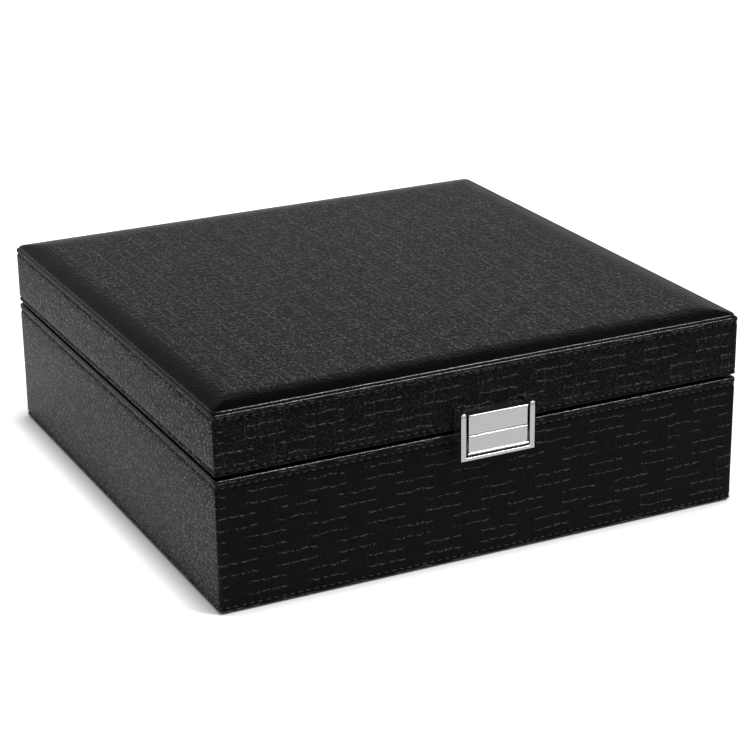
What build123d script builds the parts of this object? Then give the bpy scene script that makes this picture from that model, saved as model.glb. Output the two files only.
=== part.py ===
from build123d import *

import math
import os

# A square jewellery box: wrapped board walls, a padded lid on stop hinges, a lift-out tray and a push
# clasp. The origin is the centre of the underside. X runs to the right, Y to the back and Z up, in
# millimetres.

os.makedirs("parts", exist_ok=True)

# Case, over the leatherette
box_width = 270.0
box_depth = 270.0
base_height = 64.6
seam_gap = 0.4
lid_side_height = 30.2
corner_radius = 3.0
rim_radius = 0.9
foot_radius = 0.6

# Materials the case is built from
skin = 1.0
wall_thickness = 9.0
floor_thickness = 5.0
top_board_thickness = 5.0
underside_sheet_thickness = 0.8
underside_sheet_inset = 5.0
underside_turn_in = 14.0
lining = 1.0
lining_step_down = 0.5

# Padded top
pad_foam_edge_thickness = 0.9
pad_rise = 0.9
pad_slope_width = 25.0
pad_plateau_radius = 14.0
pad_inset = 0.5
pad_corner_radius = 4.0
pad_roll_radius = 1.4

# Tray and dividers
tray_clearance = 0.5
tray_step_down = 0.8
tray_wall = 4.0
tray_floor_thickness = 3.0
tray_divider_thickness = 4.0
tray_divider_step_down = 1.0
tray_edge_radius = 1.4
ledge_thickness = 6.0
ledge_height = 28.0
lower_divider_thickness = 5.0
lower_divider_clearance = 1.0
halving_clearance = 0.15
ring_section_width = 147.0
ring_section_depth = 105.0
ring_roll_count = 5
ring_roll_gap = 0.4
ring_roll_flat = 0.6
pull_width = 14.0
pull_thickness = 1.2
pull_length = 26.0
pull_stand_up = 9.0
pull_end_radius = 3.0

# Mirror in the lid
mirror_size = 190.0
mirror_thickness = 2.0
mirror_frame_margin = 6.0
mirror_frame_lip = 2.0
mirror_frame_lip_thickness = 0.9
mirror_clearance = 0.2

# Hinges
hinge_inset = 50.0
hinge_length = 30.0
leaf_reach = 8.0
pin_radius = 1.0
pin_running_clearance = 0.06
pin_head_radius = 1.6
pin_head_height = 0.8
knuckle_radius = 2.2
knuckle_wall_clearance = 0.4
middle_knuckle_length = 9.7
knuckle_end_gap = 0.3
stop_angle = 95.0
stop_clearance_angle = 2.0
stop_lug_reach = 6.0
stop_lug_thickness = 1.2
stop_lug_clearance = 0.5
hinge_screw_spacing = 18.0
hinge_screw_radius = 1.1
hinge_screw_head_radius = 2.0
hinge_screw_length = 10.0

# Clasp, seen from the front
clasp_width = 38.0
clasp_low = 53.0
clasp_high = 76.1
clasp_depth = 8.0
post_width = 2.55
post_cap_height = 1.3
post_cap_radius = 0.8
post_groove = 0.5
clasp_edge_radius = 0.35
frame_bar_height = 1.6
back_plate_thickness = 1.0
lid_face_clearance = 0.4
panel_side_gap = 1.3
panel_thickness = 1.6
bead_low_gap = 1.3
bead_height = 0.9
bead_overhang = 0.55
bead_stand_out = 0.45
button_skirt = 0.8
button_skirt_depth = 2.2
keeper_step_down = 0.9
keeper_wall = 1.2
keeper_lip_height = 0.8
keeper_lip_stand_out = 0.5
keeper_lip_radius = 0.3

# Clasp, inside
button_travel = 1.5
stem_spacing = 25.0
stem_height = 60.5
stem_radius = 1.0
stem_running_clearance = 0.08
stem_end_reach = 1.2
clip_radius = 1.9
clip_thickness = 0.5
clip_gap = 0.1
clip_pocket_clearance = 0.9
spring_coil_radius = 1.45
spring_wire_radius = 0.22
spring_wire_sides = 6
spring_turns = 3
spring_end_clearance = 0.05
leaf_spring_thickness = 0.5
leaf_spring_width = 20.8
leaf_spring_foot = 2.8
leaf_spring_stand_off = 1.35
leaf_spring_top_gap = 0.3
rivet_radius = 0.8
rivet_head_radius = 1.3
rivet_head_height = 0.5
rivet_spacing = 12.0
window_width = 11.2
window_height = 1.8
window_play = 0.4
pusher_gap = 0.3
pusher_width = 2.4
pusher_inset = 0.6
tongue_width = 13.0
tongue_thickness = 0.8
tongue_gap = 0.35
tongue_lip_width = 10.0
tongue_lip_reach = 1.3
tongue_drop = 5.0
tongue_seat_width = 8.0
tongue_seat_height = 5.0
tongue_stud_radius = 1.2
tongue_stud_head_radius = 1.9
tongue_stud_head_height = 0.7
boss_radius = 2.2
boss_depth = 6.0
boss_thread_radius = 0.9
frame_boss_spacing = 32.8
frame_boss_height = 55.8
keeper_boss_spacing = 22.0
screw_head_radius = 2.0
screw_head_height = 1.3
screw_head_recess = 1.6

# Heights that follow from the sizes above
wrap_low = underside_sheet_thickness
board_low = wrap_low + skin
base_rim = base_height
base_board_top = base_rim - skin
floor_top = board_low + floor_thickness
lined_floor = floor_top + lining
lid_rim = base_rim + seam_gap
lid_board_low = lid_rim + skin
crease = lid_rim + lid_side_height
lid_board_top = crease - skin
lid_ceiling = crease - top_board_thickness
lined_ceiling = lid_ceiling - lining
ledge_top = lined_floor + ledge_height
tray_low = ledge_top
tray_top = base_rim - tray_step_down
tray_floor_top = tray_low + tray_floor_thickness
tray_divider_top = tray_top - tray_divider_step_down
lower_divider_top = ledge_top - lower_divider_clearance

# Plan sizes that follow
front_face = -box_depth / 2
rear_face = box_depth / 2
board_width = box_width - 2 * skin
board_depth = box_depth - 2 * skin
board_corner_radius = corner_radius - skin
room_width = board_width - 2 * wall_thickness
room_depth = board_depth - 2 * wall_thickness
lined_width = room_width - 2 * lining
lined_depth = room_depth - 2 * lining
tray_width = lined_width - 2 * tray_clearance
tray_depth = lined_depth - 2 * tray_clearance
tray_inside_width = tray_width - 2 * tray_wall
tray_inside_depth = tray_depth - 2 * tray_wall
ring_section_back = -tray_inside_depth / 2 + ring_section_depth
rear_section_front = ring_section_back + tray_divider_thickness
front_divider_left = -tray_inside_width / 2 + ring_section_width
rear_section_depth = tray_inside_depth / 2 - rear_section_front
rear_compartment_width = (tray_inside_width - 2 * tray_divider_thickness) / 3

# Hinge places that follow
hinge_y = rear_face + knuckle_wall_clearance + knuckle_radius
hinge_z = base_rim + seam_gap / 2
leaf_front = rear_face - leaf_reach
hinge_screw_y = (leaf_front + rear_face - skin) / 2
hinge_places = (hinge_inset - box_width / 2, box_width / 2 - hinge_inset)
hinge_screw_places = [
    place + side * hinge_screw_spacing / 2 for place in hinge_places for side in (-1, 1)
]

# Clasp places that follow
clasp_front = front_face - clasp_depth
post_inside = clasp_width / 2 - post_width
panel_width = 2 * (post_inside - panel_side_gap)
panel_back = clasp_front + panel_thickness
back_plate_front = front_face - back_plate_thickness
back_plate_top = base_rim - rim_radius
bead_low = clasp_low + frame_bar_height + bead_low_gap
panel_low = bead_low + bead_height
panel_high = hinge_z + seam_gap / 2
keeper_low = panel_high + seam_gap
keeper_high = clasp_high - keeper_step_down
leaf_spring_back = back_plate_front - leaf_spring_stand_off
leaf_spring_front = leaf_spring_back - leaf_spring_thickness
tongue_back = leaf_spring_front - tongue_gap
tongue_front = tongue_back - tongue_thickness
tongue_low = keeper_low - tongue_drop
tongue_high = keeper_high - keeper_lip_height - keeper_wall - tongue_gap
tongue_seat_middle = (keeper_low + keeper_high) / 2
window_low = tongue_low - window_play
leaf_spring_top = base_rim - leaf_spring_top_gap
stem_places = (-stem_spacing / 2, stem_spacing / 2)
frame_boss_places = (-frame_boss_spacing / 2, frame_boss_spacing / 2)
keeper_boss_places = (-keeper_boss_spacing / 2, keeper_boss_spacing / 2)
room_front = -room_depth / 2


def facing_front(y):
    """A sketch plane that looks forward, with X to the right and Z up, at depth y."""
    return Plane.XZ.offset(-y)


def wall_board(side, z_low, z_high):
    """A board of the four-walled case, mitred at both ends."""
    outer_x, outer_y = board_width / 2, board_depth / 2
    inner_x, inner_y = room_width / 2, room_depth / 2
    corners = {
        "front": ((-outer_x, -outer_y), (outer_x, -outer_y), (inner_x, -inner_y), (-inner_x, -inner_y)),
        "rear": ((-outer_x, outer_y), (outer_x, outer_y), (inner_x, inner_y), (-inner_x, inner_y)),
        "left": ((-outer_x, -outer_y), (-outer_x, outer_y), (-inner_x, inner_y), (-inner_x, -inner_y)),
        "right": ((outer_x, -outer_y), (outer_x, outer_y), (inner_x, inner_y), (inner_x, -inner_y)),
    }
    with BuildPart() as board:
        with BuildSketch(Plane.XY.offset(z_low)):
            RectangleRounded(board_width, board_depth, board_corner_radius)
            with BuildLine():
                Polyline(*corners[side], close=True)
            make_face(mode=Mode.INTERSECT)
        extrude(amount=z_high - z_low)
    return board.part


def block(width, depth, z_low, z_high, x=0.0, y=0.0, edge_radius=0.0):
    """A board or strip that lies square to the axes, with its long top edges rounded where asked."""
    with BuildPart() as piece:
        with Locations((x, y, z_low)):
            Box(width, depth, z_high - z_low, align=(Align.CENTER, Align.CENTER, Align.MIN))
        if edge_radius:
            along = Axis.X if width > depth else Axis.Y
            fillet(piece.edges().group_by(Axis.Z)[-1].filter_by(along), edge_radius)
    return piece.part


def rod(radius, start_y, end_y, places, z):
    """Plain round rods or holes that run from front to back."""
    with BuildPart() as rods:
        with BuildSketch(facing_front(end_y)):
            with Locations(*[(x, z) for x in places]):
                Circle(radius)
        extrude(amount=end_y - start_y)
    return rods.part


def keep(part, name):
    """Names a finished piece and writes it out."""
    part.label = name
    export_step(part, f"parts/{name}.step")


# Openings that the clasp and the hinges need in the boards and in the leatherette

stem_end = front_face + stem_end_reach
pocket_end = stem_end + button_travel + clip_pocket_clearance
clip_pockets = rod(clip_radius + clip_pocket_clearance, front_face, pocket_end, stem_places, stem_height)
frame_boss_end = front_face + boss_depth
frame_boss_holes = rod(boss_radius, front_face, frame_boss_end, frame_boss_places, frame_boss_height)
keeper_boss_end = front_face + boss_depth
keeper_boss_holes = rod(boss_radius, front_face, keeper_boss_end, keeper_boss_places, tongue_seat_middle)


def inside_screw_holes(places, z, boss_end):
    """Stepped holes for screws that come from the room side of the front board into the bosses."""
    shanks = rod(boss_thread_radius, boss_end, room_front, places, z)
    heads = rod(screw_head_radius, room_front - screw_head_recess, room_front, places, z)
    return shanks + heads


def hinge_screw_holes(z_outer, direction):
    """Holes for the screw shanks, in the edge of a rear board that the leaf lies on."""
    with BuildPart() as holes:
        with Locations(*[(x, hinge_screw_y, z_outer) for x in hinge_screw_places]):
            Cylinder(
                hinge_screw_radius,
                hinge_screw_length,
                align=(Align.CENTER, Align.CENTER, Align.MAX if direction < 0 else Align.MIN),
            )
    return holes.part


def leaf_recess(z_low, z_high):
    """The places in the leatherette's rim where the hinge leaves lie on the board."""
    with BuildPart() as recess:
        with BuildSketch(Plane.XY.offset(z_low)):
            with Locations(*[(x, (leaf_front + rear_face + skin) / 2) for x in hinge_places]):
                Rectangle(hinge_length, leaf_reach + skin)
        extrude(amount=z_high - z_low)
    return recess.part


# Base walls and floor

with BuildPart() as base_front_board:
    add(wall_board("front", board_low, base_board_top))
    add(clip_pockets, mode=Mode.SUBTRACT)
    add(frame_boss_holes, mode=Mode.SUBTRACT)
    add(inside_screw_holes(frame_boss_places, frame_boss_height, frame_boss_end), mode=Mode.SUBTRACT)
keep(base_front_board.part, "base_front_board")

with BuildPart() as base_rear_board:
    add(wall_board("rear", board_low, base_board_top))
    add(hinge_screw_holes(base_board_top, -1), mode=Mode.SUBTRACT)
keep(base_rear_board.part, "base_rear_board")

for side in ("left", "right"):
    keep(wall_board(side, board_low, base_board_top), f"base_{side}_board")

keep(block(room_width, room_depth, board_low, floor_top), "base_floor_board")


# Leatherette round the base: up the sides, in over the rim and in under the floor

with BuildPart() as base_wrap:
    with BuildSketch(Plane.XY.offset(wrap_low)):
        RectangleRounded(box_width, box_depth, corner_radius)
    extrude(amount=base_rim - wrap_low)
    fillet(base_wrap.faces().sort_by(Axis.Z)[-1].edges(), rim_radius)
    fillet(base_wrap.faces().sort_by(Axis.Z)[0].edges(), foot_radius)
    with BuildSketch(Plane.XY.offset(board_low)):
        RectangleRounded(board_width, board_depth, board_corner_radius)
    extrude(amount=base_board_top - board_low, mode=Mode.SUBTRACT)
    with BuildSketch(Plane.XY.offset(base_board_top)):
        Rectangle(room_width, room_depth)
    extrude(amount=skin, mode=Mode.SUBTRACT)
    with BuildSketch(Plane.XY.offset(wrap_low)):
        Rectangle(board_width - 2 * underside_turn_in, board_depth - 2 * underside_turn_in)
    extrude(amount=skin, mode=Mode.SUBTRACT)
    add(leaf_recess(base_board_top, base_rim), mode=Mode.SUBTRACT)
    add(clip_pockets, mode=Mode.SUBTRACT)
    add(frame_boss_holes, mode=Mode.SUBTRACT)
keep(base_wrap.part, "base_wrap")

with BuildPart() as underside_sheet:
    with BuildSketch():
        RectangleRounded(
            box_width - 2 * underside_sheet_inset, box_depth - 2 * underside_sheet_inset, corner_radius
        )
    extrude(amount=underside_sheet_thickness)
keep(underside_sheet.part, "underside_sheet")

with BuildPart() as base_lining:
    with BuildSketch(Plane.XY.offset(floor_top)):
        Rectangle(room_width, room_depth)
    extrude(amount=base_board_top - lining_step_down - floor_top)
    with BuildSketch(Plane.XY.offset(lined_floor)):
        Rectangle(lined_width, lined_depth)
    extrude(amount=base_board_top - lined_floor, mode=Mode.SUBTRACT)
keep(base_lining.part, "base_lining")


# Lower level: ledges for the tray, and dividers halved into each other

for side, sign in (("left", -1), ("right", 1)):
    ledge_x = sign * (lined_width - ledge_thickness) / 2
    keep(block(ledge_thickness, lined_depth, lined_floor, ledge_top, x=ledge_x), f"tray_ledge_{side}")

lower_room_width = lined_width - 2 * ledge_thickness
cross_divider_places = (-lower_room_width / 6, lower_room_width / 6)
halving_height = (lined_floor + lower_divider_top) / 2
halving_width = lower_divider_thickness + 2 * halving_clearance

with BuildPart() as lower_long_divider:
    add(
        block(
            lower_room_width,
            lower_divider_thickness,
            lined_floor,
            lower_divider_top,
            edge_radius=tray_edge_radius,
        )
    )
    with BuildSketch(Plane.XY.offset(halving_height)):
        with Locations(*[(x, 0) for x in cross_divider_places]):
            Rectangle(halving_width, halving_width)
    extrude(amount=lower_divider_top - halving_height, mode=Mode.SUBTRACT)
keep(lower_long_divider.part, "lower_long_divider")

for side, place in zip(("left", "right"), cross_divider_places):
    with BuildPart() as lower_cross_divider:
        add(
            block(
                lower_divider_thickness,
                lined_depth,
                lined_floor,
                lower_divider_top,
                x=place,
                edge_radius=tray_edge_radius,
            )
        )
        with BuildSketch(Plane.XY.offset(lined_floor)):
            with Locations((place, 0)):
                Rectangle(halving_width, halving_width)
        extrude(amount=halving_height - lined_floor, mode=Mode.SUBTRACT)
    keep(lower_cross_divider.part, f"lower_cross_divider_{side}")


# Lift-out tray

keep(block(tray_inside_width, tray_inside_depth, tray_low, tray_floor_top), "tray_floor")

for side, sign in (("front", -1), ("rear", 1)):
    wall_y = sign * (tray_depth - tray_wall) / 2
    wall = block(tray_width, tray_wall, tray_low, tray_top, y=wall_y, edge_radius=tray_edge_radius)
    keep(wall, f"tray_{side}_wall")

for side, sign in (("left", -1), ("right", 1)):
    wall_x = sign * (tray_width - tray_wall) / 2
    wall = block(tray_wall, tray_inside_depth, tray_low, tray_top, x=wall_x, edge_radius=tray_edge_radius)
    keep(wall, f"tray_{side}_wall")


def tray_divider(width, depth, x, y):
    """A partition that stands on the tray's floor."""
    return block(width, depth, tray_floor_top, tray_divider_top, x, y, edge_radius=tray_edge_radius)


long_divider_y = ring_section_back + tray_divider_thickness / 2
keep(tray_divider(tray_inside_width, tray_divider_thickness, 0, long_divider_y), "tray_long_divider")

front_divider_x = front_divider_left + tray_divider_thickness / 2
front_divider_y = ring_section_back - ring_section_depth / 2
keep(
    tray_divider(tray_divider_thickness, ring_section_depth, front_divider_x, front_divider_y),
    "tray_front_divider",
)

rear_divider_y = rear_section_front + rear_section_depth / 2
for side, sign in (("left", -1), ("right", 1)):
    rear_divider_x = sign * (rear_compartment_width + tray_divider_thickness) / 2
    divider = tray_divider(tray_divider_thickness, rear_section_depth, rear_divider_x, rear_divider_y)
    keep(divider, f"tray_rear_divider_{side}")

# Foam rolls for rings, pressed flat where they lie on the tray's floor
ring_roll_pitch = ring_section_depth / ring_roll_count
ring_roll_radius = (ring_roll_pitch - ring_roll_gap) / 2
ring_roll_z = tray_floor_top + ring_roll_radius - ring_roll_flat
ring_roll_length = ring_section_width - 2 * ring_roll_gap
ring_roll_x = front_divider_left - ring_section_width / 2

for number in range(ring_roll_count):
    ring_roll_y = -tray_inside_depth / 2 + (number + 0.5) * ring_roll_pitch
    with BuildPart() as ring_roll:
        with BuildSketch(Plane.YZ.offset(ring_roll_x - ring_roll_length / 2)):
            with Locations((ring_roll_y, ring_roll_z)):
                Circle(ring_roll_radius)
            with Locations((ring_roll_y, tray_floor_top)):
                Rectangle(
                    2 * ring_roll_radius,
                    ring_roll_radius,
                    align=(Align.CENTER, Align.MAX),
                    mode=Mode.SUBTRACT,
                )
        extrude(amount=ring_roll_length)
    keep(ring_roll.part, f"ring_roll_{number + 1}")

# Ribbons to lift the tray by, glued to the inside of its end walls
pull_top = tray_top + pull_stand_up
pull_y = rear_section_front + pull_width
for side, sign in (("left", -1), ("right", 1)):
    pull_outer = sign * tray_inside_width / 2
    with BuildPart() as tray_pull:
        with BuildSketch(Plane.YZ.offset(pull_outer)):
            with Locations((pull_y, pull_top - pull_length / 2)):
                Rectangle(pull_width, pull_length)
        extrude(amount=-sign * pull_thickness)
        fillet(tray_pull.edges().filter_by(Axis.X).group_by(Axis.Z)[-1], pull_end_radius)
    keep(tray_pull.part, f"tray_pull_{side}")


# Lid walls and top board

with BuildPart() as lid_front_board:
    add(wall_board("front", lid_board_low, lid_board_top))
    add(keeper_boss_holes, mode=Mode.SUBTRACT)
    add(inside_screw_holes(keeper_boss_places, tongue_seat_middle, keeper_boss_end), mode=Mode.SUBTRACT)
keep(lid_front_board.part, "lid_front_board")

with BuildPart() as lid_rear_board:
    add(wall_board("rear", lid_board_low, lid_board_top))
    add(hinge_screw_holes(lid_board_low, 1), mode=Mode.SUBTRACT)
keep(lid_rear_board.part, "lid_rear_board")

for side in ("left", "right"):
    keep(wall_board(side, lid_board_low, lid_board_top), f"lid_{side}_board")

keep(block(room_width, room_depth, lid_ceiling, crease), "lid_top_board")


# Leatherette band round the lid, turned in over both edges of the boards

with BuildPart() as lid_side_wrap:
    with BuildSketch(Plane.XY.offset(lid_rim)):
        RectangleRounded(box_width, box_depth, corner_radius)
    extrude(amount=crease - lid_rim)
    fillet(lid_side_wrap.faces().sort_by(Axis.Z)[-1].edges(), rim_radius)
    fillet(lid_side_wrap.faces().sort_by(Axis.Z)[0].edges(), rim_radius)
    with BuildSketch(Plane.XY.offset(lid_board_low)):
        RectangleRounded(board_width, board_depth, board_corner_radius)
    extrude(amount=lid_board_top - lid_board_low, mode=Mode.SUBTRACT)
    with BuildSketch(Plane.XY.offset(lid_rim)):
        Rectangle(room_width, room_depth)
    extrude(amount=crease - lid_rim, mode=Mode.SUBTRACT)
    add(leaf_recess(lid_rim, lid_board_low), mode=Mode.SUBTRACT)
    add(keeper_boss_holes, mode=Mode.SUBTRACT)
keep(lid_side_wrap.part, "lid_side_wrap")


# Padded top: foam with a low crown, and the leatherette panel rolled round its edge

pad_edge_height = pad_foam_edge_thickness + skin


def pad_outline(inset, radius, z):
    """The pad's outline at one height, drawn in by an inset from the sides of the box."""
    with BuildSketch(Plane.XY.offset(z)) as outline:
        RectangleRounded(box_width - 2 * inset, box_depth - 2 * inset, radius)
    return outline.sketch


def padded_slab(skin_depth, roll_radius):
    """The pad's form at a depth under its skin: a rolled edge, a shallow slope and a raised plateau."""
    edge_inset = pad_inset + skin_depth
    slope_inset = pad_inset + pad_roll_radius
    z_edge = crease + pad_edge_height - skin_depth
    with BuildPart() as slab:
        add(pad_outline(edge_inset, pad_corner_radius - skin_depth, crease))
        extrude(amount=z_edge - crease)
        if roll_radius:
            fillet(slab.faces().sort_by(Axis.Z)[-1].edges(), roll_radius)
        add(pad_outline(slope_inset, pad_corner_radius - pad_roll_radius, z_edge))
        add(pad_outline(pad_inset + pad_slope_width, pad_plateau_radius, z_edge + pad_rise))
        loft()
    return slab.part


with BuildPart() as lid_top_foam:
    add(padded_slab(skin, 0))
keep(lid_top_foam.part, "lid_top_foam")

with BuildPart() as lid_top_cover:
    add(padded_slab(0, pad_roll_radius))
    add(lid_top_foam.part, mode=Mode.SUBTRACT)
keep(lid_top_cover.part, "lid_top_cover")


# Velvet inside the lid

with BuildPart() as lid_lining:
    with BuildSketch(Plane.XY.offset(lid_board_low + lining_step_down)):
        Rectangle(room_width, room_depth)
    extrude(amount=lid_ceiling - lid_board_low - lining_step_down)
    with BuildSketch(Plane.XY.offset(lid_board_low)):
        Rectangle(lined_width, lined_depth)
    extrude(amount=lined_ceiling - lid_board_low, mode=Mode.SUBTRACT)
keep(lid_lining.part, "lid_lining")


# Mirror and the frame that holds it against the lining

mirror_face = lined_ceiling - mirror_thickness
mirror_frame_low = mirror_face - mirror_frame_lip_thickness
mirror_frame_size = mirror_size + 2 * mirror_frame_margin

keep(block(mirror_size, mirror_size, mirror_face, lined_ceiling), "lid_mirror")

with BuildPart() as lid_mirror_frame:
    with BuildSketch(Plane.XY.offset(mirror_frame_low)):
        RectangleRounded(mirror_frame_size, mirror_frame_size, mirror_frame_margin)
    extrude(amount=lined_ceiling - mirror_frame_low)
    chamfer(lid_mirror_frame.faces().sort_by(Axis.Z)[0].edges(), mirror_frame_lip_thickness)
    with BuildSketch(Plane.XY.offset(mirror_frame_low)):
        Rectangle(mirror_size - 2 * mirror_frame_lip, mirror_size - 2 * mirror_frame_lip)
    extrude(amount=lined_ceiling - mirror_frame_low, mode=Mode.SUBTRACT)
    with BuildSketch(Plane.XY.offset(mirror_face)):
        Rectangle(mirror_size + 2 * mirror_clearance, mirror_size + 2 * mirror_clearance)
    extrude(amount=mirror_thickness, mode=Mode.SUBTRACT)
keep(lid_mirror_frame.part, "lid_mirror_frame")


# Stop hinges: a leaf on each rim, three knuckles on a pin, and lugs that meet when the lid stands open

outer_knuckle_length = (hinge_length - middle_knuckle_length) / 2 - knuckle_end_gap
outer_knuckle_offset = (hinge_length - outer_knuckle_length) / 2
leaf_edge = rear_face + knuckle_wall_clearance / 4
lug_angle = (stop_angle + stop_clearance_angle) / 2
lug_start = knuckle_radius + stop_lug_clearance
lug_root = (pin_radius + pin_running_clearance + knuckle_radius) / 2
lid_knuckles = ((0, middle_knuckle_length),)
base_knuckles = (
    (-outer_knuckle_offset, outer_knuckle_length),
    (outer_knuckle_offset, outer_knuckle_length),
)


def hinge_leaf(place, z_low, knuckles, up):
    """One leaf with its knuckles and its stop lug; up is 1 on the lid and -1 on the base."""
    lug_direction = math.radians(up * lug_angle)
    radial = Vector(0, math.cos(lug_direction), math.sin(lug_direction))
    across = Vector(0, -math.sin(lug_direction), math.cos(lug_direction)) * up
    axis_point = Vector(place, hinge_y, hinge_z)
    with BuildPart() as leaf:
        with BuildSketch(Plane.XY.offset(z_low)):
            with Locations((place, (leaf_front + leaf_edge) / 2)):
                Rectangle(hinge_length, leaf_edge - leaf_front)
            with Locations(*[(place + x, (leaf_front + hinge_y) / 2) for x, length in knuckles]):
                Rectangle(knuckles[0][1], hinge_y - leaf_front)
        extrude(amount=skin)
        for x, length in knuckles:
            with BuildSketch(Plane.YZ.offset(place + x - length / 2)):
                with Locations((hinge_y, hinge_z)):
                    Circle(knuckle_radius)
            extrude(amount=length)
        lug_plane = Plane(origin=axis_point, x_dir=(1, 0, 0), z_dir=across)
        toward = 1 if lug_plane.y_dir.dot(radial) > 0 else -1
        with BuildSketch(lug_plane):
            with Locations((0, toward * (lug_start + stop_lug_reach) / 2)):
                Rectangle(hinge_length, stop_lug_reach - lug_start)
            with Locations(*[(x, toward * (lug_root + stop_lug_reach) / 2) for x, length in knuckles]):
                Rectangle(knuckles[0][1], stop_lug_reach - lug_root)
        extrude(amount=stop_lug_thickness)
        with BuildSketch(Plane.YZ.offset(place - hinge_length)):
            with Locations((hinge_y, hinge_z)):
                Circle(pin_radius + pin_running_clearance)
        extrude(amount=2 * hinge_length, mode=Mode.SUBTRACT)
        screw_places = [(place + side * hinge_screw_spacing / 2, hinge_screw_y) for side in (-1, 1)]
        with BuildSketch(Plane.XY.offset(z_low)):
            with Locations(*screw_places):
                Circle(hinge_screw_radius)
        extrude(amount=skin, mode=Mode.SUBTRACT)
        head_plane = Plane.XY.offset(z_low + skin if up < 0 else z_low)
        with BuildSketch(head_plane):
            with Locations(*screw_places):
                Circle(hinge_screw_head_radius)
        head_height = hinge_screw_head_radius - hinge_screw_radius
        extrude(amount=up * head_height, taper=45, mode=Mode.SUBTRACT)
    return leaf.part


for side, place in zip(("left", "right"), hinge_places):
    keep(hinge_leaf(place, base_board_top, base_knuckles, -1), f"hinge_leaf_base_{side}")
    keep(hinge_leaf(place, lid_rim, lid_knuckles, 1), f"hinge_leaf_lid_{side}")

with BuildPart() as hinge_pins:
    for place in hinge_places:
        with BuildSketch(Plane.YZ.offset(place - hinge_length / 2)):
            with Locations((hinge_y, hinge_z)):
                Circle(pin_radius)
        extrude(amount=hinge_length)
        for start, direction in ((place - hinge_length / 2, -1), (place + hinge_length / 2, 1)):
            with BuildSketch(Plane.YZ.offset(start)):
                with Locations((hinge_y, hinge_z)):
                    Circle(pin_head_radius)
            extrude(amount=direction * pin_head_height)
keep(hinge_pins.part, "hinge_pins")


def hinge_screws(z_head, direction):
    """Countersunk screws through the leaves; direction is the way they point, 1 up and -1 down."""
    head_height = hinge_screw_head_radius - hinge_screw_radius
    with BuildPart() as screws:
        with BuildSketch(Plane.XY.offset(z_head)):
            with Locations(*[(x, hinge_screw_y) for x in hinge_screw_places]):
                Circle(hinge_screw_radius)
        extrude(amount=direction * (skin + hinge_screw_length))
        with BuildSketch(Plane.XY.offset(z_head)):
            with Locations(*[(x, hinge_screw_y) for x in hinge_screw_places]):
                Circle(hinge_screw_head_radius)
        extrude(amount=direction * head_height, taper=45)
    return screws.part


keep(hinge_screws(base_rim, -1), "hinge_screws_base")
keep(hinge_screws(lid_rim, 1), "hinge_screws_lid")


# Clasp frame: a U of square bars that stands on its back plate, with two bosses for the screws

with BuildPart() as clasp_frame:
    with BuildSketch(facing_front(front_face)):
        with Locations((0, clasp_low)):
            Rectangle(clasp_width, clasp_high - clasp_low, align=(Align.CENTER, Align.MIN))
        with Locations((0, clasp_low + frame_bar_height)):
            Rectangle(
                2 * post_inside,
                clasp_high - clasp_low,
                align=(Align.CENTER, Align.MIN),
                mode=Mode.SUBTRACT,
            )
    extrude(amount=clasp_depth)
    fillet(clasp_frame.faces().sort_by(Axis.Z)[-2:].edges().filter_by(Axis.Y), post_cap_radius)
    fillet(clasp_frame.faces().sort_by(Axis.Y)[0].edges(), clasp_edge_radius)
    # The groove under each post's cap
    groove_top = clasp_high - post_cap_height
    for x in (-1, 1):
        post_x = x * (clasp_width - post_width) / 2
        with BuildSketch(Plane.XY.offset(groove_top - post_groove)):
            with Locations((post_x, front_face - clasp_depth / 2)):
                Rectangle(post_width, clasp_depth)
                Rectangle(post_width - 2 * post_groove, clasp_depth - 2 * post_groove, mode=Mode.SUBTRACT)
        extrude(amount=post_groove, mode=Mode.SUBTRACT)
    # Above the plate the posts stand clear of the lid's face
    with BuildSketch(Plane.XY.offset(back_plate_top)):
        with Locations((0, front_face)):
            Rectangle(clasp_width, lid_face_clearance, align=(Align.CENTER, Align.MAX))
    extrude(amount=clasp_high - back_plate_top, mode=Mode.SUBTRACT)
    with BuildSketch(facing_front(front_face)):
        with Locations((0, clasp_low)):
            Rectangle(clasp_width, back_plate_top - clasp_low, align=(Align.CENTER, Align.MIN))
    extrude(amount=back_plate_thickness)
    add(rod(boss_radius, front_face, frame_boss_end, frame_boss_places, frame_boss_height))
    stem_hole = stem_radius + stem_running_clearance
    add(rod(stem_hole, back_plate_front, front_face, stem_places, stem_height), mode=Mode.SUBTRACT)
    boss_bore = rod(boss_thread_radius, front_face, frame_boss_end, frame_boss_places, frame_boss_height)
    add(boss_bore, mode=Mode.SUBTRACT)
    # Studs that are peened over the catch spring's foot
    rivet_z = clasp_low + frame_bar_height + leaf_spring_foot / 2 + rivet_head_height / 2
    rivet_places = (-rivet_spacing / 2, rivet_spacing / 2)
    foot_front = back_plate_front - leaf_spring_thickness
    add(rod(rivet_radius, foot_front, back_plate_front, rivet_places, rivet_z))
    add(rod(rivet_head_radius, foot_front - rivet_head_height, foot_front, rivet_places, rivet_z))
keep(clasp_frame.part, "clasp_frame")


def inside_screws(places, z):
    """Pan head screws from the room side of the front board into the bosses."""
    head_back = room_front - screw_head_recess + screw_head_height
    shanks = rod(boss_thread_radius, front_face + skin, head_back, places, z)
    heads = rod(screw_head_radius, room_front - screw_head_recess, head_back, places, z)
    return shanks + heads


keep(inside_screws(frame_boss_places, frame_boss_height), "clasp_screws")
keep(inside_screws(keeper_boss_places, tongue_seat_middle), "keeper_screws")


# Catch spring: a steel leaf riveted at its foot, cranked forward, with a window for the tongue's lip

leaf_foot_low = rivet_z - leaf_spring_foot / 2
leaf_foot_high = rivet_z + leaf_spring_foot / 2
crank_height = leaf_spring_stand_off

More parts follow.
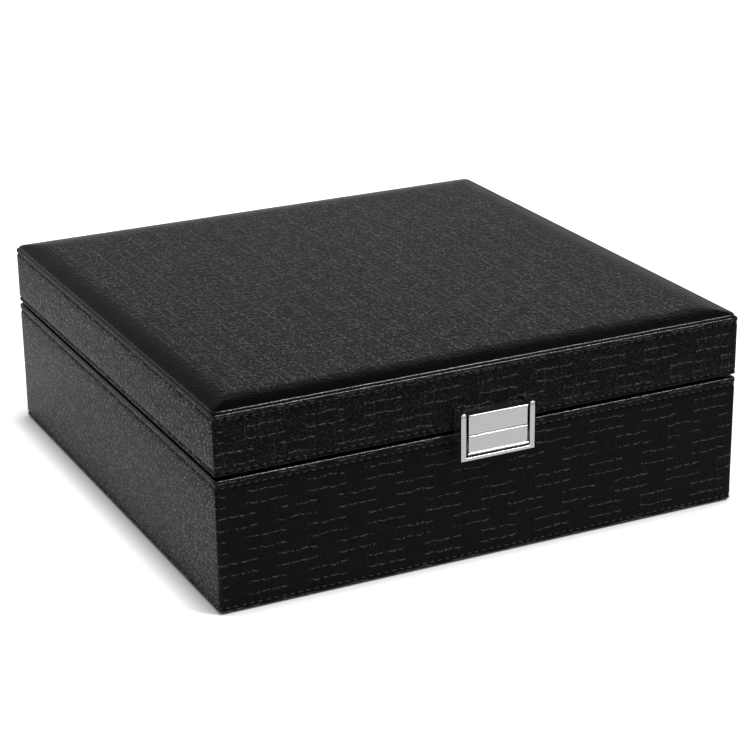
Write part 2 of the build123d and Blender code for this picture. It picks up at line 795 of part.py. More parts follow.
with BuildPart() as catch_spring:
    with BuildSketch(Plane.YZ.offset(-leaf_spring_width / 2)):
        with BuildLine():
            spine = Polyline(
                (back_plate_front - leaf_spring_thickness / 2, leaf_foot_low),
                (back_plate_front - leaf_spring_thickness / 2, leaf_foot_high),
                (leaf_spring_back - leaf_spring_thickness / 2, leaf_foot_high + crank_height),
                (leaf_spring_back - leaf_spring_thickness / 2, leaf_spring_top),
            )
            offset(spine, amount=leaf_spring_thickness / 2, side=Side.BOTH)
        make_face()
    extrude(amount=leaf_spring_width)
    add(rod(rivet_radius, foot_front, back_plate_front, rivet_places, rivet_z), mode=Mode.SUBTRACT)
    with BuildSketch(facing_front(leaf_spring_back)):
        with Locations((0, window_low)):
            Rectangle(window_width, window_height, align=(Align.CENTER, Align.MIN))
    extrude(amount=leaf_spring_thickness, mode=Mode.SUBTRACT)
keep(catch_spring.part, "catch_spring")


# Keeper on the lid: a cast cap, open below and behind, with its bosses and the seat of the tongue

with BuildPart() as clasp_keeper:
    with BuildSketch(facing_front(front_face)):
        with Locations((0, keeper_low)):
            Rectangle(panel_width, keeper_high - keeper_low, align=(Align.CENTER, Align.MIN))
    extrude(amount=clasp_depth)
    fillet(clasp_keeper.faces().sort_by(Axis.Y)[0].edges(), clasp_edge_radius)
    with BuildSketch(facing_front(front_face)):
        with Locations((0, keeper_low)):
            Rectangle(
                panel_width - 2 * keeper_wall,
                keeper_high - keeper_low - keeper_wall,
                align=(Align.CENTER, Align.MIN),
            )
    extrude(amount=clasp_depth - panel_thickness, mode=Mode.SUBTRACT)
    # A thin rounded lip along the top of the front
    with BuildSketch(facing_front(clasp_front + clasp_edge_radius)):
        with Locations((0, keeper_high)):
            Rectangle(panel_width, keeper_lip_height, align=(Align.CENTER, Align.MAX))
    extrude(amount=clasp_edge_radius + keeper_lip_stand_out)
    fillet(clasp_keeper.faces().sort_by(Axis.Y)[0].edges(), keeper_lip_radius)
    add(rod(boss_radius, panel_back, keeper_boss_end, keeper_boss_places, tongue_seat_middle))
    bore_start = front_face + skin
    boss_bore = rod(boss_thread_radius, bore_start, keeper_boss_end, keeper_boss_places, tongue_seat_middle)
    add(boss_bore, mode=Mode.SUBTRACT)
    with BuildSketch(facing_front(tongue_front)):
        with Locations((0, tongue_seat_middle)):
            Rectangle(tongue_seat_width, tongue_seat_height)
    extrude(amount=tongue_front - panel_back)
    add(rod(tongue_stud_radius, tongue_front, tongue_back, (0,), tongue_seat_middle))
    stud_end = tongue_back + tongue_stud_head_height
    add(rod(tongue_stud_head_radius, tongue_back, stud_end, (0,), tongue_seat_middle))
keep(clasp_keeper.part, "clasp_keeper")


# Tongue: a steel strip with a lip bent back at its end, held on the keeper by the peened stud

with BuildPart() as keeper_tongue:
    with BuildSketch(facing_front(tongue_back)):
        with Locations((0, tongue_low)):
            Rectangle(tongue_width, tongue_high - tongue_low, align=(Align.CENTER, Align.MIN))
    extrude(amount=tongue_thickness)
    with BuildSketch(Plane.XY.offset(tongue_low)):
        with Locations((0, tongue_back)):
            Rectangle(tongue_lip_width, tongue_lip_reach, align=(Align.CENTER, Align.MIN))
    extrude(amount=tongue_thickness)
    bend_edge = keeper_tongue.edges().filter_by(Axis.X).group_by(Axis.Z)[0].sort_by(Axis.Y)[0]
    fillet(bend_edge, tongue_thickness / 2)
    add(rod(tongue_stud_radius, tongue_front, tongue_back, (0,), tongue_seat_middle), mode=Mode.SUBTRACT)
keep(keeper_tongue.part, "keeper_tongue")


# Push button: the lower panel with its bead, a skirt behind, two pushers for the leaf and two guide stems

with BuildPart() as clasp_button:
    with BuildSketch(facing_front(panel_back + button_skirt_depth)):
        with Locations((0, panel_low)):
            Rectangle(panel_width, panel_high - panel_low, align=(Align.CENTER, Align.MIN))
    extrude(amount=panel_thickness + button_skirt_depth)
    fillet(clasp_button.faces().sort_by(Axis.Y)[0].edges(), clasp_edge_radius)
    with BuildSketch(facing_front(panel_back + button_skirt_depth)):
        with Locations((0, panel_low + button_skirt)):
            inner_width = panel_width - 2 * button_skirt
            Rectangle(inner_width, panel_high - panel_low, align=(Align.CENTER, Align.MIN))
    extrude(amount=button_skirt_depth, mode=Mode.SUBTRACT)
    bead_front = clasp_front - bead_stand_out
    with BuildSketch(facing_front(panel_back)):
        with Locations((0, bead_low)):
            Rectangle(panel_width + 2 * bead_overhang, bead_height, align=(Align.CENTER, Align.MIN))
    extrude(amount=panel_back - bead_front)
    fillet(clasp_button.faces().sort_by(Axis.Y)[0].edges(), clasp_edge_radius)
    pusher_x = leaf_spring_width / 2 - pusher_inset - pusher_width / 2
    with BuildSketch(facing_front(leaf_spring_front - pusher_gap)):
        with Locations((-pusher_x, stem_height), (pusher_x, stem_height)):
            Rectangle(pusher_width, pusher_width)
    extrude(amount=leaf_spring_front - pusher_gap - panel_back)
    add(rod(stem_radius, panel_back, stem_end, stem_places, stem_height))
keep(clasp_button.part, "clasp_button")

with BuildPart() as button_clips:
    clip_front = front_face + clip_gap
    clip_back = clip_front + clip_thickness
    add(rod(clip_radius, clip_front, clip_back, stem_places, stem_height))
    add(rod(stem_radius, clip_front, clip_back, stem_places, stem_height), mode=Mode.SUBTRACT)
keep(button_clips.part, "button_clips")


# Coil springs on the stems, between the panel and the back plate

with BuildPart() as button_springs:
    spring_start = panel_back + spring_wire_radius + spring_end_clearance
    spring_length = back_plate_front - panel_back - 2 * (spring_wire_radius + spring_end_clearance)
    for x in stem_places:
        with BuildLine() as coil:
            Helix(
                pitch=spring_length / spring_turns,
                height=spring_length,
                radius=spring_coil_radius,
                center=(x, spring_start, stem_height),
                direction=(0, 1, 0),
            )
        with BuildSketch(Plane(origin=coil.line @ 0, z_dir=coil.line % 0)):
            RegularPolygon(spring_wire_radius, spring_wire_sides)
        sweep(path=coil.line)
keep(button_springs.part, "button_springs")
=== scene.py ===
import bisect
import math
import random

import bmesh
import bpy
from mathutils import Matrix, Vector, noise


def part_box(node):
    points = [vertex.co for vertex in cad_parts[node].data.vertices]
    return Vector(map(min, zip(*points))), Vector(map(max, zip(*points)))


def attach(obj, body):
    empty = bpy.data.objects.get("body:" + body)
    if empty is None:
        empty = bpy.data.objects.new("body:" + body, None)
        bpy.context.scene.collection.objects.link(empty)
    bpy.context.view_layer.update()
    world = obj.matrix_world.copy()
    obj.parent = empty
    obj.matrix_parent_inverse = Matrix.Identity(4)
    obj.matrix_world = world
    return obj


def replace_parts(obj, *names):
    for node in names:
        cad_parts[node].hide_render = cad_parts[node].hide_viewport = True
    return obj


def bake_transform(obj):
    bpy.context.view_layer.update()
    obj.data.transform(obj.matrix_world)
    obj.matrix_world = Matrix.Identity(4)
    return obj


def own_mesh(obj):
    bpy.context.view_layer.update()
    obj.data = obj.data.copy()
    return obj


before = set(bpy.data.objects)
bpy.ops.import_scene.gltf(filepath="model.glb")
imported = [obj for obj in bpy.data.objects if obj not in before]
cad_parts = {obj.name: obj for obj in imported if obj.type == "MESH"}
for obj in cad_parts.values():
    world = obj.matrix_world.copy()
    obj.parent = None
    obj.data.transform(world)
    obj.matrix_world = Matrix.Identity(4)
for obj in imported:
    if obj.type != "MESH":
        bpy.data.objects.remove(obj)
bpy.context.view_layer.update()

MM = 0.001


def box_in_mm(node):
    """The low and the high corner of a CAD node's box, in millimetres."""
    return [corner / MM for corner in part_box(node)]


# The box, in millimetres as the frame has it
wrap_low, wrap_high = box_in_mm("base_wrap")
BOX_WIDTH = wrap_high.x - wrap_low.x
BOX_DEPTH = wrap_high.y - wrap_low.y
WRAP_LOW, BASE_RIM = wrap_low.z, wrap_high.z
LID_RIM, CREASE = [corner.z for corner in box_in_mm("lid_side_wrap")]
PAD_TOP = box_in_mm("lid_top_cover")[1].z
SKIN = 1.0
WALL = 9.0
CORNER_RADIUS = 1.9
RIM_RADIUS = 0.9
BASE_RIM_DROP = 0.58
LID_RIM_LIFT = 0.6
CREASE_DROP = 0.66
FOOT_RADIUS = 0.6
TURN_IN = 15.0

# Stitching
STITCH_PITCH = 3.9
STITCH_LENGTH = 2.5
THREAD_RADIUS = 0.27
GROOVE_DEPTH = 0.6
GROOVE_HALF_WIDTH = 0.75
LID_TOP_STITCH = CREASE - 3.4
LID_LOW_STITCH = LID_RIM + 2.8
BASE_TOP_STITCH = BASE_RIM - 4.3
BASE_LOW_STITCH = 2.7

# Padded top
PAD_INSET = 0.5
PAD_CORNER = 4.0
PAD_ROLL = 1.2
PAD_SLOPE = 14.0
PAD_RISE = 1.7
PAD_SINK = 0.25
PAD_EDGE_SINK = 0.12
PAD_SWELL = 0.1
PAD_RIPPLE = 0.06
PAD_WAVE = 0.07
PAD_STEPS = (0.9, 4.0, 8.0)

# Leather's own coordinates: UV_SPAN millimetres make 1, and its top edge lies at REFERENCE_SPAN
UV_SPAN = 1080.0
REFERENCE_SPAN = 400.0

# Embossed weave: pairs of lines along, and pairs across between them, in millimetres
WEAVE_ALONG = 14.5
WEAVE_UP = 11.15
ALONG_HALF_LENGTH = 10.0
ALONG_HALF_SPACING = 2.8
UP_HALF_SPACING = 2.25
SEGMENT_LENGTH = 4.8
WEAVE_JITTER = 0.7
WEAVE_WANDER = 1.2

# Distances from the top panel's edge between which its grain and weave fade, and with them the painted
# sheen and glints, which paints shade along the edge
CALM_START = 17.0
CALM_END = 3.0

# Camera, from the corners of the box in the photograph
CAMERA_PLACE = (-0.4660, -0.9681, 0.4518)
CAMERA_AZIMUTH = 26.102
CAMERA_ELEVATION = 20.792
CAMERA_ROLL = -0.728
CAMERA_LENS = 108.64


# Materials

class Shader:
    """A material under construction, with short ways to add its nodes."""

    def __init__(self, name):
        self.material = bpy.data.materials.new(name)
        self.material.use_nodes = True
        self.tree = self.material.node_tree
        self.tree.nodes.clear()
        self.output = self.add("ShaderNodeOutputMaterial")
        self.surface = self.add("ShaderNodeBsdfPrincipled")
        self.join(self.surface.outputs[0], self.output.inputs["Surface"])

    def add(self, kind, **settings):
        node = self.tree.nodes.new(kind)
        for key, value in settings.items():
            setattr(node, key, value)
        return node

    def join(self, output, socket):
        self.tree.links.new(output, socket)

    def set(self, socket, value):
        """Links an output to a socket, or writes a value on it."""
        if isinstance(value, bpy.types.NodeSocket):
            self.join(value, socket)
        else:
            socket.default_value = value

    def principled(self, **values):
        """Sets the surface, and gives the material."""
        names = {
            "color": "Base Color", "metallic": "Metallic", "roughness": "Roughness", "normal": "Normal",
            "specular": "Specular IOR Level", "sheen": "Sheen Weight", "sheen_roughness": "Sheen Roughness",
        }
        for key, value in values.items():
            self.set(self.surface.inputs[names[key]], value)
        return self.material

    def math(self, operation, *values):
        node = self.add("ShaderNodeMath", operation=operation)
        for socket, value in zip(node.inputs, values):
            self.set(socket, value)
        return node.outputs[0]

    def mix(self, factor, first, second):
        """A blend of two values by a factor."""
        node = self.add("ShaderNodeMix", data_type="FLOAT")
        for index, value in ((0, factor), (2, first), (3, second)):
            self.set(node.inputs[index], value)
        return node.outputs[0]

    def mix_color(self, factor, first, second):
        """A blend of two colours by a factor; a colour may be three numbers, a grey one number."""
        node = self.add("ShaderNodeMix", data_type="RGBA")
        self.set(node.inputs[0], factor)
        for index, value in ((6, first), (7, second)):
            if isinstance(value, float):
                value = (value, value, value)
            if isinstance(value, tuple):
                value = (*value, 1.0)
            self.set(node.inputs[index], value)
        return node.outputs[2]

    def band(self, value, low, high, at_low=0.0, at_high=1.0):
        """A smooth step from one value to another."""
        node = self.add("ShaderNodeMapRange", interpolation_type="SMOOTHSTEP")
        for socket, number in zip(node.inputs, (value, low, high, at_low, at_high)):
            self.set(socket, number)
        return node.outputs[0]

    def noise(self, vector, scale, detail=2.0, roughness=0.5, distortion=0.0):
        node = self.add("ShaderNodeTexNoise")
        self.set(node.inputs["Vector"], vector)
        names = ("Scale", "Detail", "Roughness", "Distortion")
        for name, value in zip(names, (scale, detail, roughness, distortion)):
            node.inputs[name].default_value = value
        return node.outputs[0]

    def cells(self, vector, scale, feature="F1"):
        node = self.add("ShaderNodeTexVoronoi", feature=feature)
        self.set(node.inputs["Vector"], vector)
        node.inputs["Scale"].default_value = scale
        return node.outputs["Distance"]

    def scaled(self, vector, factors):
        """A vector whose axes are stretched by three factors."""
        node = self.add("ShaderNodeVectorMath", operation="MULTIPLY")
        self.set(node.inputs[0], vector)
        node.inputs[1].default_value = factors
        return node.outputs[0]

    def object_place(self):
        """The place on the piece, in its own coordinates, in metres."""
        return self.add("ShaderNodeTexCoord").outputs["Object"]

    def sewn_place(self):
        """The place on the leather, in millimetres along and across it."""
        return self.scaled(self.add("ShaderNodeTexCoord").outputs["UV"], (UV_SPAN, UV_SPAN, 0.0))

    def parts(self, vector):
        """The three numbers of a vector."""
        node = self.add("ShaderNodeSeparateXYZ")
        self.join(vector, node.inputs[0])
        return node.outputs

    def bump(self, height, depth, normal=None):
        """A bump of a real depth in metres from a height of 0 to 1."""
        node = self.add("ShaderNodeBump")
        node.inputs["Strength"].default_value = 1.0
        node.inputs["Distance"].default_value = depth
        self.join(height, node.inputs["Height"])
        if normal is not None:
            self.join(normal, node.inputs["Normal"])
        return node.outputs[0]


def weave_lines(shader, along, up, cell_along, cell_up, half_length, half_spacing, shift, seed):
    """Ridges of one direction: a pair of broken lines in every second cell of a staggered grid."""
    row = shader.math("DIVIDE", up, cell_up)
    row_number = shader.math("ROUND", row)
    jitter_source = shader.add("ShaderNodeTexWhiteNoise", noise_dimensions="1D")
    shader.join(shader.math("ADD", row_number, seed), jitter_source.inputs["W"])
    jitter = shader.math("MULTIPLY_ADD", jitter_source.outputs[0], 2 * WEAVE_JITTER, -WEAVE_JITTER)
    across = shader.math("MULTIPLY", shader.math("SUBTRACT", row, row_number), cell_up)
    across = shader.math("ADD", across, jitter)
    column = shader.math("ADD", shader.math("DIVIDE", along, cell_along), row_number)
    column = shader.math("DIVIDE", shader.math("ADD", column, shift), 2.0)
    from_middle = shader.math("SUBTRACT", column, shader.math("ROUND", column))
    from_middle = shader.math("MULTIPLY", shader.math("ABSOLUTE", from_middle), 2.0 * cell_along)
    length = shader.band(from_middle, half_length - 1.5, half_length + 0.8, 1.0, 0.0)
    segment = shader.math("SINE", shader.math("MULTIPLY", along, math.tau / SEGMENT_LENGTH))
    joined = shader.add("ShaderNodeCombineXYZ")
    shader.join(along, joined.inputs[0])
    shader.join(up, joined.inputs[1])
    place = joined.outputs[0]
    wander = shader.noise(place, 0.16, 1.0)
    wander = shader.math("MULTIPLY_ADD", wander, 2 * WEAVE_WANDER, -WEAVE_WANDER)
    bow = shader.math("MULTIPLY_ADD", segment, 0.12, wander)
    offset = shader.math("ABSOLUTE", shader.math("ADD", across, bow))
    offset = shader.math("ABSOLUTE", shader.math("SUBTRACT", offset, half_spacing))
    ridge = shader.band(offset, 0.08, 0.5, 1.0, 0.0)
    breaks = shader.band(shader.noise(place, 0.5, 2.0), 0.36, 0.5, 0.12, 1.0)
    ends = shader.band(segment, -0.98, -0.6, 0.35, 1.0)
    line = shader.math("MULTIPLY", shader.math("MULTIPLY", ridge, length), breaks)
    return shader.math("MULTIPLY", line, ends)


def leather(
    name, lines, grain, pebble, rough, painted_light_tones, specular=0.09, stretch=1.0, cover=(0.3, 0.62), shaded_calm_rim=False,
):
    """Black leatherette with a pebbled grain and the embossed weave, with painted glints on its ridges.

    Lines are the strengths along and up and the upright lines' half length, and grain and pebble
    the grain's depth in metres and size in millimetres. Tones are the colours of the pits, which are
    painted shade, of the pebbles, which are painted sheen, and of the ridges, which are painted glints;
    cover is where pits turn to pebbles. With a shaded calm rim, the grain and weave fade towards the
    edges, and the fading painted sheen and glints paint shade along them.
    """
    shader = Shader(name)
    place = shader.sewn_place()
    along, up, _ = shader.parts(place)
    flat = weave_lines(
        shader, along, up, WEAVE_ALONG, WEAVE_UP,
        half_length=ALONG_HALF_LENGTH, half_spacing=ALONG_HALF_SPACING, shift=0.5, seed=3.0,
    )
    upright = weave_lines(
        shader, up, along, WEAVE_UP, WEAVE_ALONG,
        half_length=lines[2], half_spacing=UP_HALF_SPACING, shift=1.0, seed=11.0,
    )
    weave = shader.math("MULTIPLY", flat, lines[0])
    weave = shader.math("ADD", weave, shader.math("MULTIPLY", upright, lines[1]))
    grain_place = shader.scaled(place, (1.0 / stretch, 1.0, 1.0))
    pebbles = shader.cells(grain_place, 1.0 / pebble, "SMOOTH_F1")
    fine = shader.noise(grain_place, 1.1 / pebble, 2.0, 0.6)
    wrinkles = shader.noise(place, 0.35, 3.0, 0.55, 0.6)
    height = shader.math("MULTIPLY_ADD", pebbles, -0.7, fine)
    height = shader.math("MULTIPLY_ADD", wrinkles, 0.4, height)
    # Painted shade along the edges: grain and weave fade there, so the colour turns to the dark pit colour.
    if shaded_calm_rim:
        sideways = shader.math("ABSOLUTE", shader.math("SUBTRACT", along, BOX_WIDTH / 2))
        lengthways = shader.math("ABSOLUTE", shader.math("SUBTRACT", up, BOX_DEPTH / 2))
        from_middle = shader.math("MAXIMUM", sideways, lengthways)
        start, end = BOX_WIDTH / 2 - CALM_START, BOX_WIDTH / 2 - CALM_END
        calm = shader.band(from_middle, start, end, 1.0, 0.25)
        height = shader.math("MULTIPLY", height, calm)
        weave = shader.math("MULTIPLY", weave, shader.math("POWER", calm, 2.0))
    normal = shader.bump(weave, 0.0005, shader.bump(height, grain))
    # Painted light in the colour: painted shade in the pits, painted sheen on the pebble tops, painted
    # glints on the ridges.
    color = shader.mix_color(shader.band(height, *cover), painted_light_tones[0], painted_light_tones[1])
    color = shader.mix_color(shader.band(weave, 0.2, 1.0), color, painted_light_tones[2])
    return shader.principled(
        color=color,
        roughness=shader.mix(shader.noise(place, 0.12, 3.0), rough - 0.05, rough + 0.07),
        specular=specular,
        normal=normal,
    )


def thread_material():
    """Black waxed thread, with its twist."""
    shader = Shader("stitch_thread")
    twist = shader.add("ShaderNodeTexWave", wave_type="BANDS", bands_direction="DIAGONAL")
    shader.join(shader.object_place(), twist.inputs["Vector"])
    twist.inputs["Scale"].default_value = 900.0
    return shader.principled(
        color=shader.mix_color(twist.outputs[1], 0.02, 0.075),
        roughness=0.7,
        specular=0.05,
        normal=shader.bump(twist.outputs[1], 0.00006),
    )


def clasp_material():
    """Plated zinc: a satin front, and polished sides."""
    shader = Shader("clasp_plating")
    place = shader.object_place()
    normal = shader.parts(shader.add("ShaderNodeTexCoord").outputs["Normal"])
    front = shader.band(shader.math("MULTIPLY", normal[1], -1.0), 0.9, 0.98)
    brushed = shader.noise(shader.scaled(place, (60.0, 900.0, 1600.0)), 1.0, 3.0, 0.6)
    specks = shader.noise(place, 1500.0, 2.0)
    satin = shader.mix(brushed, 0.28, 0.4)
    polished = shader.mix(specks, 0.2, 0.28)
    return shader.principled(
        color=shader.mix_color(brushed, (0.64, 0.64, 0.645), (0.74, 0.74, 0.745)),
        metallic=1.0,
        roughness=shader.mix(front, polished, satin),
        normal=shader.bump(brushed, 0.000012),
    )


def steel_material(name, low, high, rough, streaks=(200.0, 200.0, 1400.0)):
    """Plated or bare steel with fine streaks from its making and dull specks."""
    shader = Shader(name)
    place = shader.object_place()
    streak = shader.noise(shader.scaled(place, streaks), 1.0, 4.0, 0.6)
    specks = shader.noise(place, 600.0, 3.0)
    return shader.principled(
        color=shader.mix_color(streak, low, high),
        metallic=1.0,
        roughness=shader.mix(specks, rough, rough + 0.16),
        normal=shader.bump(streak, 0.00002),
    )


def velvet_material(name, dark, light):
    """Short pile velvet: painted sheen in patches where brushed pile would catch the light, a fine pile and
    a soft sheen.
    """
    shader = Shader(name)
    place = shader.object_place()
    pile = shader.noise(place, 2600.0, 2.0, 0.7)
    tufts = shader.cells(place, 1700.0)
    # Painted sheen: lighter patches where the brushed pile would catch the light.
    brushed = shader.noise(place, 22.0, 2.0, 0.45, 0.5)
    patches = shader.math("MULTIPLY", shader.band(brushed, 0.3, 0.7), 0.26)
    tone = shader.math("MULTIPLY_ADD", pile, 0.75, patches)
    height = shader.math("MULTIPLY_ADD", tufts, -0.5, pile)
    return shader.principled(
        color=shader.mix_color(tone, dark, light),
        roughness=0.95,
        specular=0.1,
        sheen=0.35,
        sheen_roughness=0.4,
        normal=shader.bump(height, 0.00035),
    )


def felt_material():
    """Thin black felt with matted fibres."""
    shader = Shader("felt")
    place = shader.object_place()
    fibres = shader.noise(place, 900.0, 4.0, 0.7, 2.5)
    patches = shader.noise(place, 60.0, 3.0)
    return shader.principled(
        color=shader.mix_color(shader.math("MULTIPLY", fibres, patches), 0.012, 0.06),
        roughness=1.0,
        specular=0.1,
        sheen=0.2,
        normal=shader.bump(fibres, 0.0004),
    )


def ribbon_material():
    """Black ribbon with cross ribs and a woven edge."""
    shader = Shader("ribbon")
    place = shader.add("ShaderNodeTexCoord").outputs["UV"]
    across, along, _ = shader.parts(place)
    ribs = shader.math("SINE", shader.math("MULTIPLY", along, math.tau / 0.9))
    threads = shader.noise(shader.scaled(place, (6.0, 1.5, 1.0)), 1.0, 3.0)
    edge = shader.band(shader.math("ABSOLUTE", shader.math("SUBTRACT", across, 7.0)), 6.1, 6.6)
    height = shader.math("MULTIPLY_ADD", threads, 0.5, shader.math("MULTIPLY", ribs, 0.5))
    color = shader.mix_color(shader.math("MULTIPLY_ADD", ribs, 0.3, threads), 0.02, 0.085)
    return shader.principled(
        color=shader.mix_color(edge, color, 0.03),
        roughness=0.55,
        specular=0.35,
        sheen=0.15,
        normal=shader.bump(height, 0.0002),
    )


def plastic_material():
    """Matt black moulded plastic with a spark-eroded texture."""
    shader = Shader("frame_plastic")
    place = shader.object_place()
    texture = shader.noise(place, 1900.0, 3.0, 0.6)
    return shader.principled(
        color=shader.mix_color(shader.noise(place, 30.0, 3.0), 0.03, 0.05),
        roughness=shader.mix(texture, 0.42, 0.6),
        specular=0.4,
        normal=shader.bump(texture, 0.00008),
    )


def mirror_material():
    """Silvered glass with the faintest haze."""
    shader = Shader("mirror")
    place = shader.object_place()
    haze = shader.noise(place, 22.0, 5.0, 0.65)
    return shader.principled(
        color=shader.mix_color(haze, (0.83, 0.86, 0.86), (0.88, 0.9, 0.9)),
        metallic=1.0,
        roughness=shader.mix(shader.band(haze, 0.45, 0.75), 0.01, 0.05),
    )


def fibreboard_material():
    """Raw fibreboard: pressed fibres, darker flecks."""
    shader = Shader("fibreboard")
    place = shader.object_place()
    fibres = shader.noise(shader.scaled(place, (500.0, 500.0, 1300.0)), 1.0, 4.0, 0.65)
    flecks = shader.band(shader.noise(place, 420.0, 3.0), 0.6, 0.7)
    color = shader.mix_color(fibres, (0.32, 0.22, 0.14), (0.5, 0.37, 0.25))
    return shader.principled(
        color=shader.mix_color(shader.math("MULTIPLY", flecks, 0.5), color, (0.2, 0.13, 0.08)),
        roughness=0.9,
        specular=0.2,
        normal=shader.bump(fibres, 0.0002),
    )


# Mesh helpers

def make_object(name, data):
    piece = bpy.data.objects.new(name, data)
    bpy.context.scene.collection.objects.link(piece)
    return piece


def make_piece(name, vertices, faces):
    mesh = bpy.data.meshes.new(name)
    mesh.from_pydata(vertices, [], faces)
    return make_object(name, mesh)


def dress(piece, body, slot, *replaced, material=None, angle=50.0):
    """Finishes a piece: material, shading with sharp edges over an angle, body and CAD nodes; the slot is
    not used.
    """
    if material:
        piece.data.materials.append(material)
    piece.data.shade_smooth()
    piece.data.set_sharp_from_angle(angle=math.radians(angle))
    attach(piece, body)
    if replaced:
        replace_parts(piece, *replaced)


def apply_modifiers(piece):
    """Turns the modifiers of a piece into its mesh."""
    bpy.context.view_layer.update()
    graph = bpy.context.evaluated_depsgraph_get()
    mesh = bpy.data.meshes.new_from_object(piece.evaluated_get(graph))
    piece.modifiers.clear()
    piece.data = mesh


def cut_boxes(piece, boxes):
    """Cuts plain boxes, each given by two corners in millimetres, out of a piece."""
    mesh = bpy.data.meshes.new("cutter")
    maker = bmesh.new()
    for low, high in boxes:
        size = [(b - a) * MM for a, b in zip(low, high)]
        centre = [(a + b) / 2 * MM for a, b in zip(low, high)]
        matrix = Matrix.Translation(centre) @ Matrix.Diagonal((*size, 1.0))
        bmesh.ops.create_cube(maker, size=1.0, matrix=matrix)
    maker.to_mesh(mesh)
    maker.free()
    cutter = make_object("cutter", mesh)
    modifier = piece.modifiers.new("cut", "BOOLEAN")
    modifier.operation = "DIFFERENCE"
    modifier.solver = "EXACT"
    modifier.object = cutter
    apply_modifiers(piece)
    bpy.data.objects.remove(cutter)


def outline(width, depth, radius, straight_steps, arc_steps):
    """Points round a rounded rectangle from the front's left end."""
    half_x, half_y = width / 2 - radius, depth / 2 - radius
    points = []
    start = Vector((-half_x, -depth / 2))
    for quarter, (x, y) in enumerate(((1, -1), (1, 1), (-1, 1), (-1, -1))):
        centre = Vector((x * half_x, y * half_y))
        bend = []
        for step in range(arc_steps + 1):
            turn = math.pi / 2 * (quarter - 1 + step / arc_steps)
            bend.append(centre + radius * Vector((math.cos(turn), math.sin(turn))))
        points += [start.lerp(bend[0], step / straight_steps) for step in range(straight_steps)]
        points += bend[:-1]
        start = bend[-1]
    return points


def running_lengths(points, closed=True):
    """The length along a path at each of its points, and once round where it is closed."""
    lengths = [0.0]
    for a, b in zip(points, points[1:] + points[:1] if closed else points[1:]):
        lengths.append(lengths[-1] + math.dist(a, b))
    return lengths


def tube_faces(start, rings, count, caps=True):
    """Faces of a tube whose rings of vertices follow each other, with or without end caps."""
    faces = []
    for ring in range(rings - 1):
        for step in range(count):
            a = start + ring * count + step
            b = start + ring * count + (step + 1) % count
            faces.append((a, b, b + count, a + count))
    if caps:
        first = tuple(range(start, start + count))
        last = tuple(range(start + (rings - 1) * count, start + rings * count))
        faces += [first[::-1], last]
    return faces


def lay_out(mesh, name, place):
    """A UV layer with each vertex where a function of its index puts it."""
    layer = mesh.uv_layers.new(name=name)
    for corner, loop in zip(layer.data, mesh.loops):
        corner.uv = place(loop.vertex_index)


def skin_ring(name, profile):
    """A closed skin round the box: the profile is a closed list of (inset, z) in millimetres."""
    steps = {"straight_steps": 54, "arc_steps": 6}
    vertices = []
    for inset, z in profile:
        radius = max(CORNER_RADIUS - inset, 0.15)
        ring = outline(BOX_WIDTH - 2 * inset, BOX_DEPTH - 2 * inset, radius, **steps)
        vertices += [(p.x * MM, p.y * MM, z * MM) for p in ring]
    travel = running_lengths(outline(BOX_WIDTH, BOX_DEPTH, CORNER_RADIUS, **steps))
    across = running_lengths(profile)
    rows, count = len(across) - 1, len(travel) - 1
    faces, sewn = [], []
    for row in range(rows):
        for step in range(count):
            corners = ((row, step), (row + 1, step), (row + 1, step + 1), (row, step + 1))
            faces.append([a % rows * count + b % count for a, b in corners])
            sewn += [(travel[b], across[a]) for a, b in corners]
    piece = make_piece(name, vertices, faces)
    for corner, (u, v) in zip(piece.data.uv_layers.new(name="sewn").data, sewn):
        corner.uv = (u / UV_SPAN, (REFERENCE_SPAN - v) / UV_SPAN)
    return piece


def groove(z, width=GROOVE_HALF_WIDTH, depth=GROOVE_DEPTH):
    """Profile points, from top to bottom, of the dip that a row of stitches pulls into the leather."""
    base = 0.08
    return [
        (base * 0.6, z + 1.9 * width),
        (base + 0.3 * depth, z + width),
        (base + 0.85 * depth, z + 0.4 * width),
        (base + depth, z),
        (base + 0.8 * depth, z - 0.5 * width),
        (base + 0.25 * depth, z - 1.2 * width),
        (base, z - 2.2 * width),
    ]


def arc(centre_inset, centre_z, radius, start, end, steps):
    """Profile points on an arc; the angle is 0 outwards and 90 upwards."""
    points = []
    for step in range(steps + 1):
        turn = math.radians(start + (end - start) * step / steps)
        points.append((centre_inset - radius * math.cos(turn), centre_z + radius * math.sin(turn)))
    return points


def assign_sides(mesh, front, side, rim_z):
    """Gives the front and back, the sides and the rounded upper rim their leather."""
    for material in (front, side, leather_edge):
        mesh.materials.append(material)
    for polygon in mesh.polygons:
        normal = polygon.normal
        if 0.25 < normal.z < 0.97 and polygon.center.z > (rim_z - 1.0) * MM:
            polygon.material_index = 2
        elif abs(normal.x) > 0.75 and abs(normal.y) < 0.1:
            polygon.material_index = 1


# Leather skins

